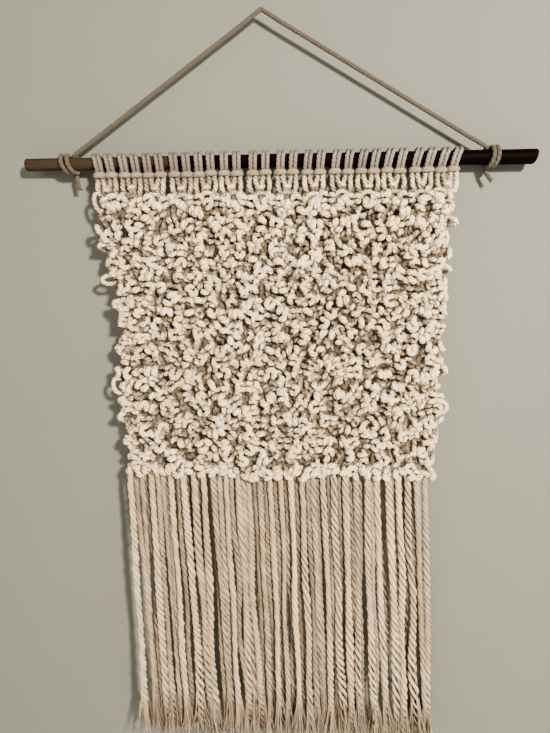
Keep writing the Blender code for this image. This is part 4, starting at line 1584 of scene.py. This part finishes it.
def blur_matrix(count, cell, blur):
    """Weights exp(-d^2 / 2 blur^2) between cells d apart, each column's weights adding up to 1."""
    apart = (np.arange(count)[:, None] - np.arange(count)) * cell
    weights = np.exp(-0.5 * (apart / blur) ** 2)
    return weights / weights.sum(axis=0)


# ---------------------------------------------------------------- stage


#   lights: name, place, what it points at, size, its power's setting and factor, and colour
LIGHTS = (
    ("key_light", (0.60, -1.24, 0.10), (0.02, 0.0, -0.36), 0.13, "key_power", 1.0, (1.0, 0.91, 0.78)),
    ("fill_light", (-0.9, -1.4, 0.1), (0.0, 0.0, -0.40), 1.2, "fill_power", 1.0, (1.0, 0.93, 0.85)),
    ("back_light", (0.7, 1.4, 0.5), (0.0, 0.0, -0.40), 1.0, "fill_power", 4.0, (1.0, 0.98, 0.95)),
)
SKY_COLOUR, SKY_STRENGTH = (0.80, 0.84, 0.86, 1.0), 0.07


class MACRAME_OT_stage(bpy.types.Operator):
    """Camera, lights, the plain wall behind and the pale floor below"""

    bl_idname = "macrame.stage"
    bl_label = "Stage"

    def execute(self, context):
        stage = context.scene.macrame_stage
        add_camera()
        add_backdrop(stage)
        for name, place, target, size, power, factor, colour in LIGHTS:
            add_area(name, place, target, size, getattr(stage, power) * factor, colour)
        world = bpy.data.worlds.new("studio")
        world.use_nodes = True
        background = world.node_tree.nodes["Background"]
        background.inputs["Color"].default_value = SKY_COLOUR
        background.inputs["Strength"].default_value = SKY_STRENGTH
        context.scene.world = world
        context.scene.view_settings.look = "AgX - Medium High Contrast"
        return {"FINISHED"}


CAMERA_PLACE = (-0.0032, -0.556, -0.2848)
CAMERA_PITCH, CAMERA_ROLL, CAMERA_LENS = 5.7, 2.8, 27.01


def add_camera():
    """A hand-held view from below the rod, tipped down by the pitch and rolled, in degrees."""
    pitch, roll = math.radians(CAMERA_PITCH), math.radians(CAMERA_ROLL)
    forward = Vector((0.0, math.cos(pitch), -math.sin(pitch)))
    level = Vector((1.0, 0.0, 0.0))
    raised = level.cross(forward)
    right = level * math.cos(roll) - raised * math.sin(roll)
    up = level * math.sin(roll) + raised * math.cos(roll)
    data = bpy.data.cameras.new("camera")
    data.lens = CAMERA_LENS
    data.clip_start = 0.01
    camera = bpy.data.objects.new("camera", data)
    turn = Matrix((right, up, -forward)).transposed()
    camera.matrix_world = Matrix.Translation(CAMERA_PLACE) @ turn.to_4x4()
    bpy.context.scene.collection.objects.link(camera)
    bpy.context.scene.camera = camera


def add_area(name, position, target, size, power, colour):
    """A square area light that points at its target."""
    data = bpy.data.lights.new(name, "AREA")
    data.size = size
    data.energy = power
    data.color = colour
    light = bpy.data.objects.new(name, data)
    light.location = position
    light.rotation_euler = (Vector(target) - Vector(position)).to_track_quat("-Z", "Y").to_euler()
    bpy.context.scene.collection.objects.link(light)


#   the wall's mottling as a noise's scale and detail, the paints, and the sheets' reaches
MOTTLE = (3.0, 3.0)
WALL_PAINT = ((0.166, 0.171, 0.150, 1.0), (0.189, 0.193, 0.170, 1.0))
FLOOR_PAINT = (0.74, 0.73, 0.70, 1.0)
WALL_REACH, WALL_FOOT, WALL_TOP = 3.0, -1.2, 1.6
FLOOR_REACH, FLOOR_LEVEL = 4.0, -0.82


def add_backdrop(stage):
    """A wall that is seen only from its front and lets light from behind pass, and a floor."""
    left, right = (-WALL_REACH, stage.wall_y), (WALL_REACH, stage.wall_y)
    low, high = (WALL_FOOT,), (WALL_TOP,)
    wall = plain_sheet("wall", (left + low, right + low, right + high, left + high))
    graph = Graph("wall_paint")
    mottle = graph.noise(graph.object_place(), *MOTTLE)
    graph.finish(Base_Color=graph.mix(mottle, *WALL_PAINT), Roughness=0.85)
    behind = graph.add("ShaderNodeNewGeometry").outputs["Backfacing"]
    shadow = graph.add("ShaderNodeLightPath").outputs["Is Shadow Ray"]
    clear = graph.math("MAXIMUM", behind, shadow)
    output = graph.tree.nodes["Material Output"]
    see_through = graph.add("ShaderNodeBsdfTransparent").outputs[0]
    mixed = graph.add("ShaderNodeMixShader", {0: clear, 1: graph.shader.outputs[0], 2: see_through})
    graph.put(output.inputs["Surface"], mixed.outputs[0])
    wall.data.materials.append(graph.material)
    around = ((-1.0, -1.0), (1.0, -1.0), (1.0, 1.0), (-1.0, 1.0))
    floor = plain_sheet("floor", [(x * FLOOR_REACH, y * FLOOR_REACH, FLOOR_LEVEL) for x, y in around])
    paint = Graph("floor_paint").finish(Base_Color=FLOOR_PAINT, Roughness=0.7)
    floor.data.materials.append(paint)


def plain_sheet(name, corners):
    """A flat sheet of the stage, from its corners in turn."""
    mesh = bpy.data.meshes.new(name)
    mesh.from_pydata(corners, [], [(0, 1, 2, 3)])
    sheet = bpy.data.objects.new(name, mesh)
    bpy.context.scene.collection.objects.link(sheet)
    return sheet


# ---------------------------------------------------------------- add-on

OPERATORS = (
    MACRAME_OT_stage,
    MACRAME_OT_hanging_cord,
    MACRAME_OT_rod,
    MACRAME_OT_larks_heads,
    MACRAME_OT_net,
    MACRAME_OT_raised_knots,
    MACRAME_OT_fringe,
    MACRAME_OT_hollows,
)


class MACRAME_PT_panel(bpy.types.Panel):
    """Every piece of the wall hanging, in the order in which they are made"""

    bl_idname = "MACRAME_PT_panel"
    bl_label = "Macrame wall hanging"
    bl_space_type = "VIEW_3D"
    bl_region_type = "UI"
    bl_category = "Macrame"

    def draw(self, context):
        for settings in SETTINGS:
            box = self.layout.box()
            group = getattr(context.scene, settings)
            for name in group.__annotations__:
                box.prop(group, name)
        for operator in OPERATORS:
            self.layout.operator(operator.bl_idname)


def register():
    """Registers the settings, the operators and the panel."""
    for settings in SETTINGS.values():
        bpy.utils.register_class(settings)
    for name, settings in SETTINGS.items():
        setattr(bpy.types.Scene, name, PointerProperty(type=settings))
    for operator in OPERATORS:
        bpy.utils.register_class(operator)
    bpy.utils.register_class(MACRAME_PT_panel)


def unregister():
    """Takes out what register put in."""
    bpy.utils.unregister_class(MACRAME_PT_panel)
    for operator in reversed(OPERATORS):
        bpy.utils.unregister_class(operator)
    for name, settings in SETTINGS.items():
        delattr(bpy.types.Scene, name)
        bpy.utils.unregister_class(settings)


def main():
    """Makes every piece."""
    register()
    for operator in OPERATORS:
        group, name = operator.bl_idname.split(".")
        getattr(getattr(bpy.ops, group), name)()


if __name__ == "__main__":
    main()
